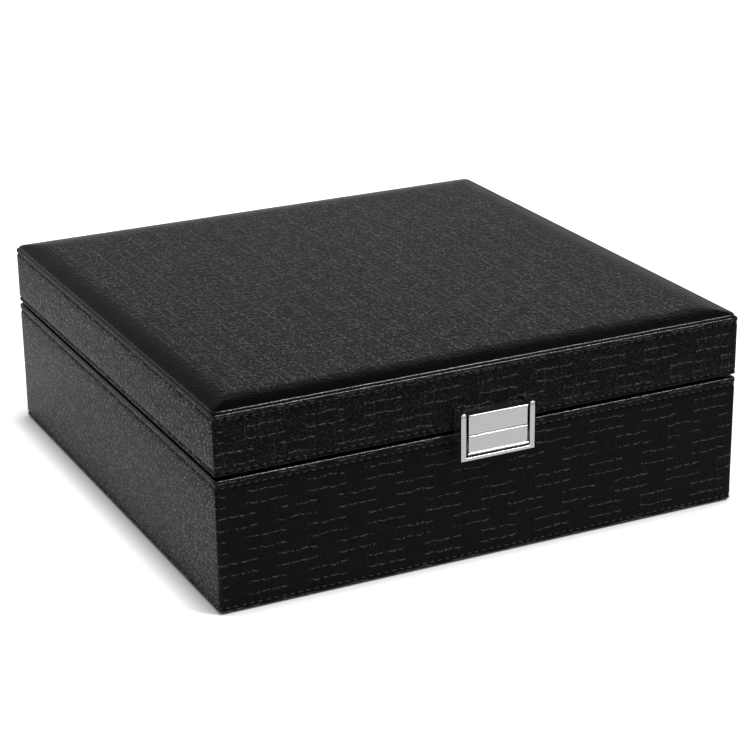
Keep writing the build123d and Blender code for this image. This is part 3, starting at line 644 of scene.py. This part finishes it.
# Lit and shaded copies of one leatherette: each face's colours carry painted light for how the light falls
# on it. The sides have bright painted sheen, the top lighter painted sheen, the fronts stay dark with
# painted glints on the ridges and the lid's front more painted sheen, and the rims have dark colours under
# a shinier finish.
leather_front_base = leather(
    "leather_front_base", lines=(1.0, 0.25, 5.2), grain=0.00012, pebble=1.0, rough=0.28,
    painted_light_tones=(0.0005, 0.004, 0.055),
)
leather_front_lid = leather(
    "leather_front_lid", lines=(1.0, 0.5, 5.2), grain=0.00016, pebble=0.9, rough=0.28,
    painted_light_tones=(0.0004, 0.022, 0.065), cover=(0.45, 0.65),
)
leather_side_lit = leather(
    "leather_side_lit", lines=(0.3, 0.1, 5.2), grain=0.0003, pebble=0.9, rough=0.38,
    painted_light_tones=(0.0004, 0.21, 0.006), cover=(0.42, 0.64), stretch=1.4,
)
leather_top_lit = leather(
    "leather_top_lit", lines=(0.5, 1.0, 9.0), grain=0.00034, pebble=1.3, rough=0.3,
    painted_light_tones=(0.0004, 0.12, 0.1), cover=(0.5, 0.64), shaded_calm_rim=True,
)
leather_edge = leather(
    "leather_edge", lines=(0.1, 0.0, 5.2), grain=0.00014, pebble=1.3, rough=0.2,
    painted_light_tones=(0.0005, 0.01, 0.01), specular=0.4,
)


def cut_hinge_places(piece, z_low, z_high):
    """Cuts the places where the hinge leaves lie."""
    boxes = []
    for side in ("left", "right"):
        low, high = box_in_mm(f"hinge_leaf_base_{side}")
        boxes.append(((low.x, low.y, z_low), (high.x, BOX_DEPTH / 2 + 2.0, z_high)))
    cut_boxes(piece, boxes)


POCKET_HALF_WIDTH = 2.6
POCKET_DEPTH = 1.5


def cut_stem_pockets(piece):
    """Cuts the places behind the clasp that the button's stems move in."""
    low, high = box_in_mm("button_clips")
    middle = (low.z + high.z) / 2
    front, half = -BOX_DEPTH / 2, POCKET_HALF_WIDTH
    boxes = []
    for side in (-1, 1):
        x = side * (high.x - (high.z - low.z) / 2)
        boxes.append((
            (x - half, front - 1.0, middle - half),
            (x + half, front + POCKET_DEPTH, middle + half),
        ))
    cut_boxes(piece, boxes)


def base_skin():
    """The leatherette round the base, with its rim, two stitched grooves and its turned-in foot."""
    board = SKIN + WALL
    profile = [(board, BASE_RIM - SKIN), (board, BASE_RIM - 0.25), (board - 0.25, BASE_RIM)]
    rim = BASE_RIM - BASE_RIM_DROP
    profile += [(6.0, BASE_RIM), (4.0, BASE_RIM - 0.06), (2.4, BASE_RIM - 0.25)]
    profile += arc(RIM_RADIUS, rim - RIM_RADIUS, RIM_RADIUS, 72, 0, 6)
    middle = (rim - RIM_RADIUS + BASE_TOP_STITCH) / 2
    profile += [(0.0, middle + 0.5), (0.02, middle - 0.1)]
    profile += groove(BASE_TOP_STITCH)
    profile += [(0.1, z) for z in range(50, 2, -8)]
    profile += groove(BASE_LOW_STITCH, width=0.6, depth=0.5)
    profile += arc(FOOT_RADIUS, WRAP_LOW + FOOT_RADIUS, FOOT_RADIUS, -15, -90, 4)
    profile += [(6.0, WRAP_LOW), (TURN_IN, WRAP_LOW), (TURN_IN, WRAP_LOW + SKIN)]
    profile += [(SKIN + 0.02, WRAP_LOW + SKIN), (SKIN + 0.02, BASE_RIM - SKIN)]
    piece = skin_ring("base_skin", profile)
    cut_hinge_places(piece, BASE_RIM - SKIN, BASE_RIM + 1.0)
    cut_stem_pockets(piece)
    assign_sides(piece.data, leather_front_base, leather_side_lit, BASE_RIM - BASE_RIM_DROP)
    dress(piece, "base", "leatherette", "base_wrap")


def lid_skin():
    """The leatherette band round the lid."""
    board = SKIN + WALL
    profile = [(board, CREASE - SKIN), (board, CREASE - 0.2), (board - 0.2, CREASE)]
    rim = CREASE - CREASE_DROP
    profile += [(4.0, CREASE), (2.4, CREASE - 0.3)]
    profile += arc(RIM_RADIUS, rim - RIM_RADIUS, RIM_RADIUS, 72, 0, 6)
    middle = (rim - RIM_RADIUS + LID_TOP_STITCH) / 2
    profile += [(0.0, middle + 0.5)]
    profile += groove(LID_TOP_STITCH, width=0.55)
    profile += [(0.1, z) for z in range(86, 70, -4)]
    profile += groove(LID_LOW_STITCH, width=0.55, depth=0.5)[:-1]
    rim = LID_RIM + LID_RIM_LIFT
    profile += arc(RIM_RADIUS, rim + RIM_RADIUS, RIM_RADIUS, 0, -72, 6)
    profile += [(2.4, LID_RIM + 0.25), (4.0, LID_RIM + 0.06), (6.0, LID_RIM)]
    profile += [(board - 0.25, LID_RIM), (board, LID_RIM + 0.25), (board, LID_RIM + SKIN)]
    profile += [(SKIN + 0.02, LID_RIM + SKIN), (SKIN + 0.02, CREASE - SKIN)]
    piece = skin_ring("lid_skin", profile)
    cut_hinge_places(piece, LID_RIM - 1.0, LID_RIM + SKIN)
    assign_sides(piece.data, leather_front_lid, leather_side_lit, CREASE - CREASE_DROP)
    dress(piece, "lid", "leatherette", "lid_side_wrap")


# Padded top

def pad_height(edge, x, y):
    """Height of the padded top over its rolled edge, with the softness of the foam."""
    t = min(max(edge / PAD_SLOPE, 0.0), 1.0)
    rise = PAD_RISE * math.sin(t * math.pi / 2)
    swell = PAD_SWELL * t * noise.noise(Vector((x / 46.0, y / 60.0, 3.1)))
    ripple = PAD_RIPPLE * math.exp(-edge / 5.0) * noise.noise(Vector((x / 9.0, y / 9.0, 8.4)))
    return rise - PAD_EDGE_SINK + swell + ripple


def graded(half, fine, coarse, rim_width):
    """Coordinates from minus half to half, close together near both ends."""
    values = [half]
    while values[-1] > 0.5 * coarse:
        step = fine if half - values[-1] < rim_width else coarse
        values.append(values[-1] - step)
    positive = [v for v in values if v > 0.25 * coarse]
    return [-v for v in positive] + [0.0] + positive[::-1]


def lid_pad():
    """The padded top as one soft piece: a graded sheet, and loops that roll down round its edge."""
    half_x = BOX_WIDTH / 2 - PAD_INSET - PAD_ROLL
    half_y = BOX_DEPTH / 2 - PAD_INSET - PAD_ROLL
    radius = PAD_CORNER - PAD_ROLL
    xs, ys = graded(half_x, *PAD_STEPS), graded(half_y, *PAD_STEPS)
    edge_z = PAD_TOP - PAD_SINK - PAD_RISE
    vertices, normals = [], []
    for y in ys:
        for x in xs:
            over_x, over_y = abs(x) - (half_x - radius), abs(y) - (half_y - radius)
            reach = max(over_x, over_y)
            sign_x, sign_y = math.copysign(1.0, x), math.copysign(1.0, y)
            if min(over_x, over_y) > 0:
                away = math.hypot(over_x, over_y)
                nx, ny = sign_x * over_x / away, sign_y * over_y / away
                px = sign_x * (half_x - radius) + nx * reach
                py = sign_y * (half_y - radius) + ny * reach
            else:
                nx, ny = (sign_x, 0.0) if over_x > over_y else (0.0, sign_y)
                px, py = x, y
            vertices.append(Vector((px, py, edge_z + pad_height(radius - reach, px, py))))
            normals.append((nx, ny))
    columns, rows = len(xs), len(ys)
    faces = []
    for row in range(rows - 1):
        for column in range(columns - 1):
            a = row * columns + column
            faces.append((a, a + columns, a + columns + 1, a + 1))
    border = list(range(columns))
    border += [row * columns + columns - 1 for row in range(1, rows)]
    border += [(rows - 1) * columns + column for column in range(columns - 2, -1, -1)]
    border += [row * columns for row in range(rows - 2, 0, -1)]
    profile = arc(0.0, edge_z - PAD_ROLL, PAD_ROLL, 78, 0, 7)
    profile += arc(0.0, edge_z - PAD_ROLL, PAD_ROLL, -18, -40, 2)
    previous = border
    start_heights = [vertices[index].z for index in border]
    for number, (inset, z) in enumerate(profile):
        ring = []
        for index, start in zip(border, start_heights):
            (x, y, _), (nx, ny) = vertices[index], normals[index]
            fade = max(1.0 - number / 5, 0.0)
            wave = PAD_WAVE * noise.noise(Vector((x / 14.0, y / 14.0, 1.7)))
            out = -inset + (wave if number > 2 else 0.0) - 0.05
            ring.append(len(vertices))
            vertices.append(Vector((x + nx * out, y + ny * out, z + (start - edge_z) * fade)))
        for step in range(len(border)):
            after = (step + 1) % len(border)
            faces.append((previous[step], previous[after], ring[after], ring[step]))
        previous = ring
    faces.append(previous)
    piece = make_piece("lid_pad", [v * MM for v in vertices], faces)
    piece.data.flip_normals()

    def sewn(index):
        v = vertices[index]
        return (v.x + BOX_WIDTH / 2) / UV_SPAN, (v.y + BOX_DEPTH / 2) / UV_SPAN

    lay_out(piece.data, "sewn", sewn)
    piece.data.materials.append(leather_top_lit)
    piece.data.materials.append(leather_edge)
    for polygon in piece.data.polygons:
        polygon.material_index = int(0.2 < polygon.normal.z < 0.965)
    dress(piece, "lid", "leatherette", "lid_top_cover", "lid_top_foam", angle=60.0)
    return piece


# Stitches

def stitch_row(name, z, inset, body, seed):
    """A row of stitches round the box: short thread bows that dive into the leather at both ends."""
    draw = random.Random(seed)
    path = outline(BOX_WIDTH - 2 * inset, BOX_DEPTH - 2 * inset, CORNER_RADIUS - inset, 60, 8)
    lengths = running_lengths(path)
    total = lengths[-1]
    count = round(total / STITCH_PITCH)

    def at(distance):
        distance %= total
        before = bisect.bisect_right(lengths, distance, 0, len(path)) - 1
        span = lengths[before + 1] - lengths[before]
        return path[before].lerp(path[(before + 1) % len(path)], (distance - lengths[before]) / span)

    sides, cuts = 6, 6
    vertices, faces = [], []
    for number in range(count):
        middle = (number + 0.5) * total / count + draw.uniform(-0.1, 0.1)
        tilt = draw.uniform(-0.12, 0.12)
        size = draw.uniform(0.92, 1.06)
        start = len(vertices)
        for cut in range(cuts + 1):
            t = cut / cuts * 2 - 1
            place = at(middle + t * STITCH_LENGTH / 2)
            ahead = at(middle + t * STITCH_LENGTH / 2 + 0.2)
            along = (ahead - place).normalized()
            out = Vector((along.y, -along.x))
            bow = 0.10 - 0.42 * t * t
            radius = THREAD_RADIUS * size * (1.0 - 0.35 * t * t)
            for side in range(sides):
                turn = math.tau * side / sides
                spot = place + out * (bow + radius * math.cos(turn))
                rise = radius * 1.15 * math.sin(turn) + tilt * t
                vertices.append((spot.x * MM, spot.y * MM, (z + rise) * MM))
        faces += tube_faces(start, cuts + 1, sides)
    dress(make_piece(name, vertices, faces), body, "leatherette", material=thread, angle=60.0)


thread = thread_material()
base_skin()
lid_skin()
lid_pad()
THREAD_INSET = GROOVE_DEPTH - 0.05
stitch_row("lid_top_stitches", LID_TOP_STITCH, THREAD_INSET, "lid", 1)
stitch_row("lid_low_stitches", LID_LOW_STITCH, THREAD_INSET - 0.1, "lid", 2)
stitch_row("base_top_stitches", BASE_TOP_STITCH, THREAD_INSET, "base", 3)
stitch_row("base_low_stitches", BASE_LOW_STITCH, THREAD_INSET - 0.1, "base", 4)


# Cloth over boards inside the box

velvet = velvet_material("velvet", (0.17, 0.16, 0.148), (0.44, 0.415, 0.39))
ring_velvet = velvet_material("ring_velvet", (0.19, 0.178, 0.163), (0.46, 0.435, 0.41))
felt = felt_material()


def softened(node, body, width, slot="velvet", material=velvet, segments=3):
    """A CAD piece's own form with its edges rounded, as cloth rounds the board that it covers."""
    maker = bmesh.new()
    maker.from_mesh(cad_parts[node].data)
    bmesh.ops.remove_doubles(maker, verts=maker.verts, dist=1e-6)
    bmesh.ops.dissolve_limit(maker, angle_limit=math.radians(2.0), verts=maker.verts, edges=maker.edges)
    edges = [
        edge for edge in maker.edges
        if len(edge.link_faces) == 2 and edge.calc_face_angle(0.0) > math.radians(35.0)
    ]
    bmesh.ops.bevel(
        maker, geom=edges, offset=width * MM, offset_type="OFFSET", segments=segments, profile=0.5,
        affect="EDGES", clamp_overlap=True,
    )
    mesh = bpy.data.meshes.new(f"{node}_cloth")
    maker.to_mesh(mesh)
    maker.free()
    dress(make_object(f"{node}_cloth", mesh), body, slot, node, material=material)


for node in ("floor", "front_wall", "rear_wall", "left_wall", "right_wall"):
    softened(f"tray_{node}", "tray", 0.7)
for node in ("long_divider", "front_divider", "rear_divider_left", "rear_divider_right"):
    softened(f"tray_{node}", "tray", 0.9)
for node in ("base_lining", "tray_ledge_left", "tray_ledge_right"):
    softened(node, "base", 0.45)
for node in ("long_divider", "cross_divider_left", "cross_divider_right"):
    softened(f"lower_{node}", "base", 0.9)
softened("lid_lining", "lid", 0.45)
softened("underside_sheet", "base", 0.3, slot="felt", material=felt, segments=2)


# Ring rolls: foam under velvet, swelled as cloth

ROLL_ALONG = 62
ROLL_AROUND = 30
ROLL_SLACK = 0.8
ROLL_END = 5.0
ROLL_MOVE = 0.9
ROLL_GAP = Vector((0.0, 0.03, 0.0))
SWELL_FRAMES = 20
CLOTH_SETTINGS = {
    "quality": 6, "mass": 0.15, "tension_stiffness": 18.0, "compression_stiffness": 10.0,
    "shear_stiffness": 6.0, "bending_stiffness": 0.05, "use_pressure": True,
    "uniform_pressure_force": 4.0, "shrink_min": -0.06, "vertex_group_mass": "glued",
}


def roll_start(node, seed):
    """The roll before it swells: its vertices in millimetres, its faces, and what is glued down."""
    draw = random.Random(seed)
    low, high = box_in_mm(node)
    radius = (high.y - low.y) / 2
    centre_y, centre_z = (low.y + high.y) / 2, high.z - radius
    start, end = low.x + ROLL_SLACK, high.x - ROLL_SLACK
    phase = draw.uniform(0.0, 50.0)
    vertices, glued = [], []
    for ring in range(ROLL_ALONG + 1):
        t = ring / ROLL_ALONG
        x = start + (end - start) * t
        from_end = min(x - start, end - x)
        shrink = math.sqrt(max(1.0 - (1.0 - min(from_end / ROLL_END, 1.0)) ** 2.4, 0.0))
        size = (radius - ROLL_SLACK) * (0.62 + 0.38 * shrink)
        for step in range(ROLL_AROUND):
            turn = math.tau * step / ROLL_AROUND
            lump = 1.0 + 0.02 * noise.noise(Vector((x / 11.0 + phase, math.cos(turn), math.sin(turn))))
            y = centre_y + size * lump * math.cos(turn)
            z = max(centre_z + size * lump * math.sin(turn), low.z + 0.1)
            if math.sin(turn) < -0.7:
                glued.append(len(vertices))
            vertices.append(Vector((x, y, z)))
    tube = tube_faces(0, ROLL_ALONG + 1, ROLL_AROUND, caps=False)
    faces = [(a, d, c, b) for a, b, c, d in tube]
    for ring, outward in ((0, -1), (ROLL_ALONG, 1)):
        rim = [ring * ROLL_AROUND + step for step in range(ROLL_AROUND)]
        middle = sum((vertices[index] for index in rim), Vector()) / ROLL_AROUND
        inner = range(len(vertices), len(vertices) + ROLL_AROUND)
        vertices += [vertices[index].lerp(middle, 0.45) + Vector((outward * 0.35, 0, 0)) for index in rim]
        vertices.append(middle + Vector((outward * 0.5, 0, 0)))
        for step in range(ROLL_AROUND):
            after = (step + 1) % ROLL_AROUND
            quad = (rim[step], rim[after], inner[after], inner[step])
            fan = (inner[step], inner[after], len(vertices) - 1)
            faces += [face if outward < 0 else face[::-1] for face in (quad, fan)]
    return vertices, faces, glued


def swell(pieces):
    """Lets pieces swell as cloth under pressure, without gravity, all in one run."""
    scene = bpy.context.scene
    for piece in pieces:
        modifier = piece.modifiers.new("cloth", "CLOTH")
        for key, value in CLOTH_SETTINGS.items():
            setattr(modifier.settings, key, value)
        modifier.settings.effector_weights.gravity = 0.0
        modifier.point_cache.frame_start = 1
        modifier.point_cache.frame_end = SWELL_FRAMES
    for number in range(1, SWELL_FRAMES + 1):
        scene.frame_set(number)
    shapes = []
    graph = bpy.context.evaluated_depsgraph_get()
    for piece in pieces:
        solved = piece.evaluated_get(graph)
        shapes.append([vertex.co.copy() for vertex in solved.to_mesh().vertices])
        solved.to_mesh_clear()
    for piece in pieces:
        piece.modifiers.clear()
    scene.frame_set(1)
    return shapes


def ring_rolls():
    """Five rolls side by side, each for its own CAD node."""
    nodes = [f"ring_roll_{number}" for number in range(1, 6)]
    pieces, starts = [], []
    for number, node in enumerate(nodes):
        vertices, faces, glued = roll_start(node, 20 + number)
        starts.append([v * MM for v in vertices])
        piece = make_piece(f"{node}_velvet", starts[-1], faces)
        piece.vertex_groups.new(name="glued").add(glued, 1.0, "REPLACE")
        pieces.append(piece)
    shapes = swell(pieces)
    for node, piece, start, shape in zip(nodes, pieces, starts, shapes):
        low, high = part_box(node)
        low, high = low + ROLL_GAP * MM, high - ROLL_GAP * MM
        for vertex, before, after in zip(piece.data.vertices, start, shape):
            move = after - before
            if move.length > ROLL_MOVE * MM:
                move *= ROLL_MOVE * MM / move.length
            vertex.co = [min(max(value, a), b) for value, a, b in zip(before + move, low, high)]
        piece.vertex_groups.clear()
        modifier = piece.modifiers.new("smooth", "SUBSURF")
        modifier.levels = modifier.render_levels = 1
        apply_modifiers(piece)
        dress(piece, "tray", "ring_velvet", node, material=ring_velvet, angle=70.0)


ring_rolls()


# Ribbon pulls: each is one ribbon folded over, with both ends glued on the tray's wall

ribbon = ribbon_material()
RIBBON_THICKNESS = 0.35
RIBBON_GAP = 0.25
RIBBON_FOLD = 0.75
RIBBON_LOOP = 10.5
RIBBON_LOOP_WIDTH = 2.6


def ribbon_pull(node, side):
    """A folded ribbon whose loop stands above the tray's wall; side is 1 on the right."""
    low, high = box_in_mm(node)
    wall = high.x if side > 0 else low.x
    reach = high.z - low.z
    inner, outer = [], []
    steps = 16
    for step in range(steps):
        z = low.z + reach * step / steps
        above = max(z - (high.z - RIBBON_LOOP), 0.0) / RIBBON_LOOP
        opening = RIBBON_FOLD + RIBBON_LOOP_WIDTH * math.sin(math.pi * above ** 1.3 * 0.72)
        outer.append((RIBBON_GAP - 0.35 * above, z))
        inner.append((RIBBON_GAP + opening, z))
    left, right = outer[-1][0], inner[-1][0]
    half, middle = (right - left) / 2, (right + left) / 2
    lift = high.z - 0.2 - z
    turns = [math.pi * step / 6 for step in range(1, 6)]
    crown = [(middle - half * math.cos(turn), z + lift * math.sin(turn)) for turn in turns]
    path = outer + crown + inner[::-1]
    travel = running_lengths(path, closed=False)
    cuts = 6
    width = high.y - low.y
    vertices, faces = [], []
    for offset, z in path:
        for cut in range(cuts + 1):
            cup = 0.12 * math.sin(math.pi * cut / cuts) * (z - low.z) / reach
            place = (wall - side * (offset + cup), low.y + width * cut / cuts, z)
            vertices.append([number * MM for number in place])
    for row in range(len(path) - 1):
        for cut in range(cuts):
            a = row * (cuts + 1) + cut
            faces.append((a, a + 1, a + cuts + 2, a + cuts + 1))
    piece = make_piece(f"{node}_ribbon", vertices, faces)

    def woven(index):
        row, cut = divmod(index, cuts + 1)
        return width * cut / cuts, travel[row]

    lay_out(piece.data, "woven", woven)
    modifier = piece.modifiers.new("thickness", "SOLIDIFY")
    modifier.thickness = RIBBON_THICKNESS * MM
    modifier.offset = 0.0
    apply_modifiers(piece)
    dress(piece, "tray", "ribbon", node, material=ribbon)
    return piece


ribbon_pull("tray_pull_left", -1)
ribbon_pull("tray_pull_right", 1)


# Hinge screws, with a cross recess in each head

SCREW_TURNS = 9
SCREW_PITCH = 0.85
CROSS_HALF_LENGTH = 1.15
CROSS_HALF_WIDTH = 0.24


def hinge_screws(node, body, pointing):
    """Countersunk screws for one leaf's node; pointing is 1 where they point up."""
    low, high = box_in_mm(node)
    radius = (high.y - low.y) / 2
    y = (low.y + high.y) / 2
    outer, tip = (high.z, low.z) if pointing < 0 else (low.z, high.z)
    shank = 0.55 * radius
    profile = [(0.86 * radius, 0.05), (radius, 0.15), (radius, 0.22), (shank, 1.1), (shank, 1.6)]
    for turn in range(SCREW_TURNS):
        at = 1.8 + turn * SCREW_PITCH
        profile += [(0.78 * shank, at), (shank, at + 0.35), (0.78 * shank, at + 0.7)]
    profile.append((0.1, abs(tip - outer)))
    leaf_low, leaf_high = box_in_mm("hinge_leaf_base_left")
    middle_x = (leaf_low.x + leaf_high.x) / 2
    reach = high.x - radius + middle_x
    places = [side * (abs(middle_x) + step * reach) for side in (-1, 1) for step in (-1, 1)]
    sides = 20
    vertices, faces = [], []
    for x in places:
        start = len(vertices)
        for across, down in profile:
            for side in range(sides):
                turn = math.tau * side / sides
                place = (x + across * math.cos(turn), y + across * math.sin(turn), outer + pointing * down)
                vertices.append([number * MM for number in place])
        tube = tube_faces(start, len(profile), sides)
        faces += tube if pointing > 0 else [face[::-1] for face in tube]
    piece = make_piece(f"{node}_cross", vertices, faces)
    z_low, z_high = sorted((outer - pointing * 0.5, outer + pointing * 0.75))
    length, width = CROSS_HALF_LENGTH, CROSS_HALF_WIDTH
    for dx, dy in ((length, width), (width, length)):
        boxes = [((x - dx, y - dy, z_low), (x + dx, y + dy, z_high)) for x in places]
        cut_boxes(piece, boxes)
    dress(piece, body, "steel", node, material=plated_steel, angle=40.0)


plated_steel = steel_material("plated_steel", (0.5, 0.5, 0.5), (0.66, 0.66, 0.655), 0.18)
spring_steel = steel_material(
    "spring_steel", (0.3, 0.31, 0.33), (0.45, 0.46, 0.48), 0.26, streaks=(900.0, 120.0, 120.0),
)
hinge_screws("hinge_screws_base", "base", -1)
hinge_screws("hinge_screws_lid", "lid", 1)


# Springs that give way to the button

def spring_copy(node):
    """A spring's own mesh as a piece of its own."""
    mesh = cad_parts[node].data.copy()
    mesh.materials.clear()
    mesh.materials.append(spring_steel)
    piece = make_object(f"{node}_wire", mesh)
    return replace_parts(piece, node)


coils = spring_copy("button_springs")
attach(coils, "base")
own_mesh(coils)
leaf = spring_copy("catch_spring")
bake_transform(leaf)


# Carried-over pieces get their finish

def finish(material, *nodes):
    """Gives CAD nodes a material."""
    for name in nodes:
        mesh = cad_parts[name].data
        mesh.materials.clear()
        mesh.materials.append(material)


finish(clasp_material(), "clasp_frame", "clasp_keeper", "clasp_button")
leaves = [f"hinge_leaf_{body}_{side}" for body in ("base", "lid") for side in ("left", "right")]
finish(
    plated_steel, *leaves,
    "hinge_pins", "clasp_screws", "keeper_screws", "keeper_tongue", "button_clips",
)
finish(mirror_material(), "lid_mirror")
finish(plastic_material(), "lid_mirror_frame")
sides = ("front", "rear", "left", "right")
boards = [f"{body}_{side}_board" for body in ("base", "lid") for side in sides]
finish(fibreboard_material(), *boards, "base_floor_board", "lid_top_board")


# Floor, light and camera

FLOOR_REACH = 8.0
FLOOR_GAP = 0.2
CONTACT_SHADOW_REACH = 14.0
KEY_LIGHT = {"direction": (0.43, -0.37, 0.82), "spread": 14.0, "strength": 2.0}
FILL_LIGHT = {"direction": (-0.35, -0.55, 0.76), "spread": 50.0, "strength": 0.8}


def make_floor():
    """A floor that is white to the eye, keeps the shadow, with a painted shadow close to the box, and glows
    where the box mirrors it.
    """
    corners = [(x * FLOOR_REACH, y * FLOOR_REACH, 0) for x, y in ((-1, -1), (1, -1), (1, 1), (-1, 1))]
    floor = make_piece("floor", corners, [(0, 1, 2, 3)])
    floor.location.z = -FLOOR_GAP * MM
    shader = Shader("floor_paper")
    place = shader.object_place()
    grain = shader.noise(place, 300.0, 3.0)
    # Painted shadow close to the box: ambient occlusion darkens the floor's glow, both to the camera and in
    # reflections.
    near = shader.add("ShaderNodeAmbientOcclusion", samples=16)
    near.inputs["Distance"].default_value = CONTACT_SHADOW_REACH * MM
    painted_contact_shadow = shader.math("POWER", near.outputs["AO"], 2.4)
    path = shader.add("ShaderNodeLightPath")
    mirrored = shader.math("MAXIMUM", path.outputs["Is Glossy Ray"], path.outputs["Is Transmission Ray"])
    # Painted reflection: mirrored rays see the floor darker than the camera does.
    color = shader.mix_color(mirrored, shader.mix_color(grain, 0.72, 0.76), 0.45)
    shader.principled(color=color, roughness=0.9, specular=0.1)
    sideways = shader.parts(place)[0]
    # Painted reflection: for mirrored rays the floor glows, strongly in a strip just left of the box and
    # not at all further left, which paints the left face's reflection brighter low down and darker higher
    # up.
    left_reflection_glow = shader.band(sideways, -0.22, -0.18, 0.0, 0.9)
    glow = shader.mix(shader.band(sideways, -0.145, -0.125), left_reflection_glow, 0.36)
    seen = shader.math("MULTIPLY", path.outputs["Is Camera Ray"], 0.9)
    seen = shader.math("ADD", seen, shader.math("MULTIPLY", mirrored, glow))
    shader.join(shader.math("MULTIPLY", seen, painted_contact_shadow), shader.surface.inputs["Emission Strength"])
    shader.surface.inputs["Emission Color"].default_value = (1, 1, 1, 1)
    floor.data.materials.append(shader.material)


def make_world():
    """A studio that is pale near the horizon and dark overhead."""
    world = bpy.data.worlds.new("studio")
    bpy.context.scene.world = world
    world.use_nodes = True
    tree = world.node_tree
    tree.nodes.clear()
    kinds = ("TexCoord", "SeparateXYZ", "ValToRGB", "Background", "OutputWorld")
    place, parts, ramp, background, output = [tree.nodes.new(f"ShaderNode{kind}") for kind in kinds]
    tree.links.new(place.outputs["Generated"], parts.inputs[0])
    tree.links.new(parts.outputs[2], ramp.inputs[0])
    tree.links.new(ramp.outputs[0], background.inputs[0])
    tree.links.new(background.outputs[0], output.inputs[0])
    stops = [(0.0, 0.6), (0.2, 0.6), (0.35, 0.4), (0.44, 0.12), (0.55, 0.05), (1.0, 0.05)]
    elements = ramp.color_ramp.elements
    while len(elements) < len(stops):
        elements.new(0.5)
    for element, (position, value) in zip(elements, stops):
        element.position = position
        element.color = (value, value, value, 1)


def make_light(name, direction, spread, strength):
    """A soft far lamp that shines from a direction and looks as wide as an angle."""
    light = bpy.data.lights.new(name, "SUN")
    light.angle = math.radians(spread)
    light.energy = strength
    lamp = make_object(name, light)
    away = Vector(direction).normalized()
    lamp.location = away
    lamp.rotation_euler = away.to_track_quat("Z", "Y").to_euler()


def make_camera():
    """The photograph's view."""
    camera = bpy.data.cameras.new("camera")
    camera.lens = CAMERA_LENS
    camera.sensor_width = 36.0
    view = make_object("camera", camera)
    azimuth, elevation = math.radians(CAMERA_AZIMUTH), math.radians(CAMERA_ELEVATION)
    turn = Matrix.Rotation(-azimuth, 3, "Z") @ Matrix.Rotation(math.pi / 2 - elevation, 3, "X")
    turn = turn @ Matrix.Rotation(math.radians(CAMERA_ROLL), 3, "Z")
    view.matrix_world = Matrix.Translation(CAMERA_PLACE) @ turn.to_4x4()
    bpy.context.scene.camera = view


make_floor()
make_world()
make_light("key", **KEY_LIGHT)
make_light("fill", **FILL_LIGHT)
make_camera()
bpy.context.scene.view_settings.view_transform = "Standard"
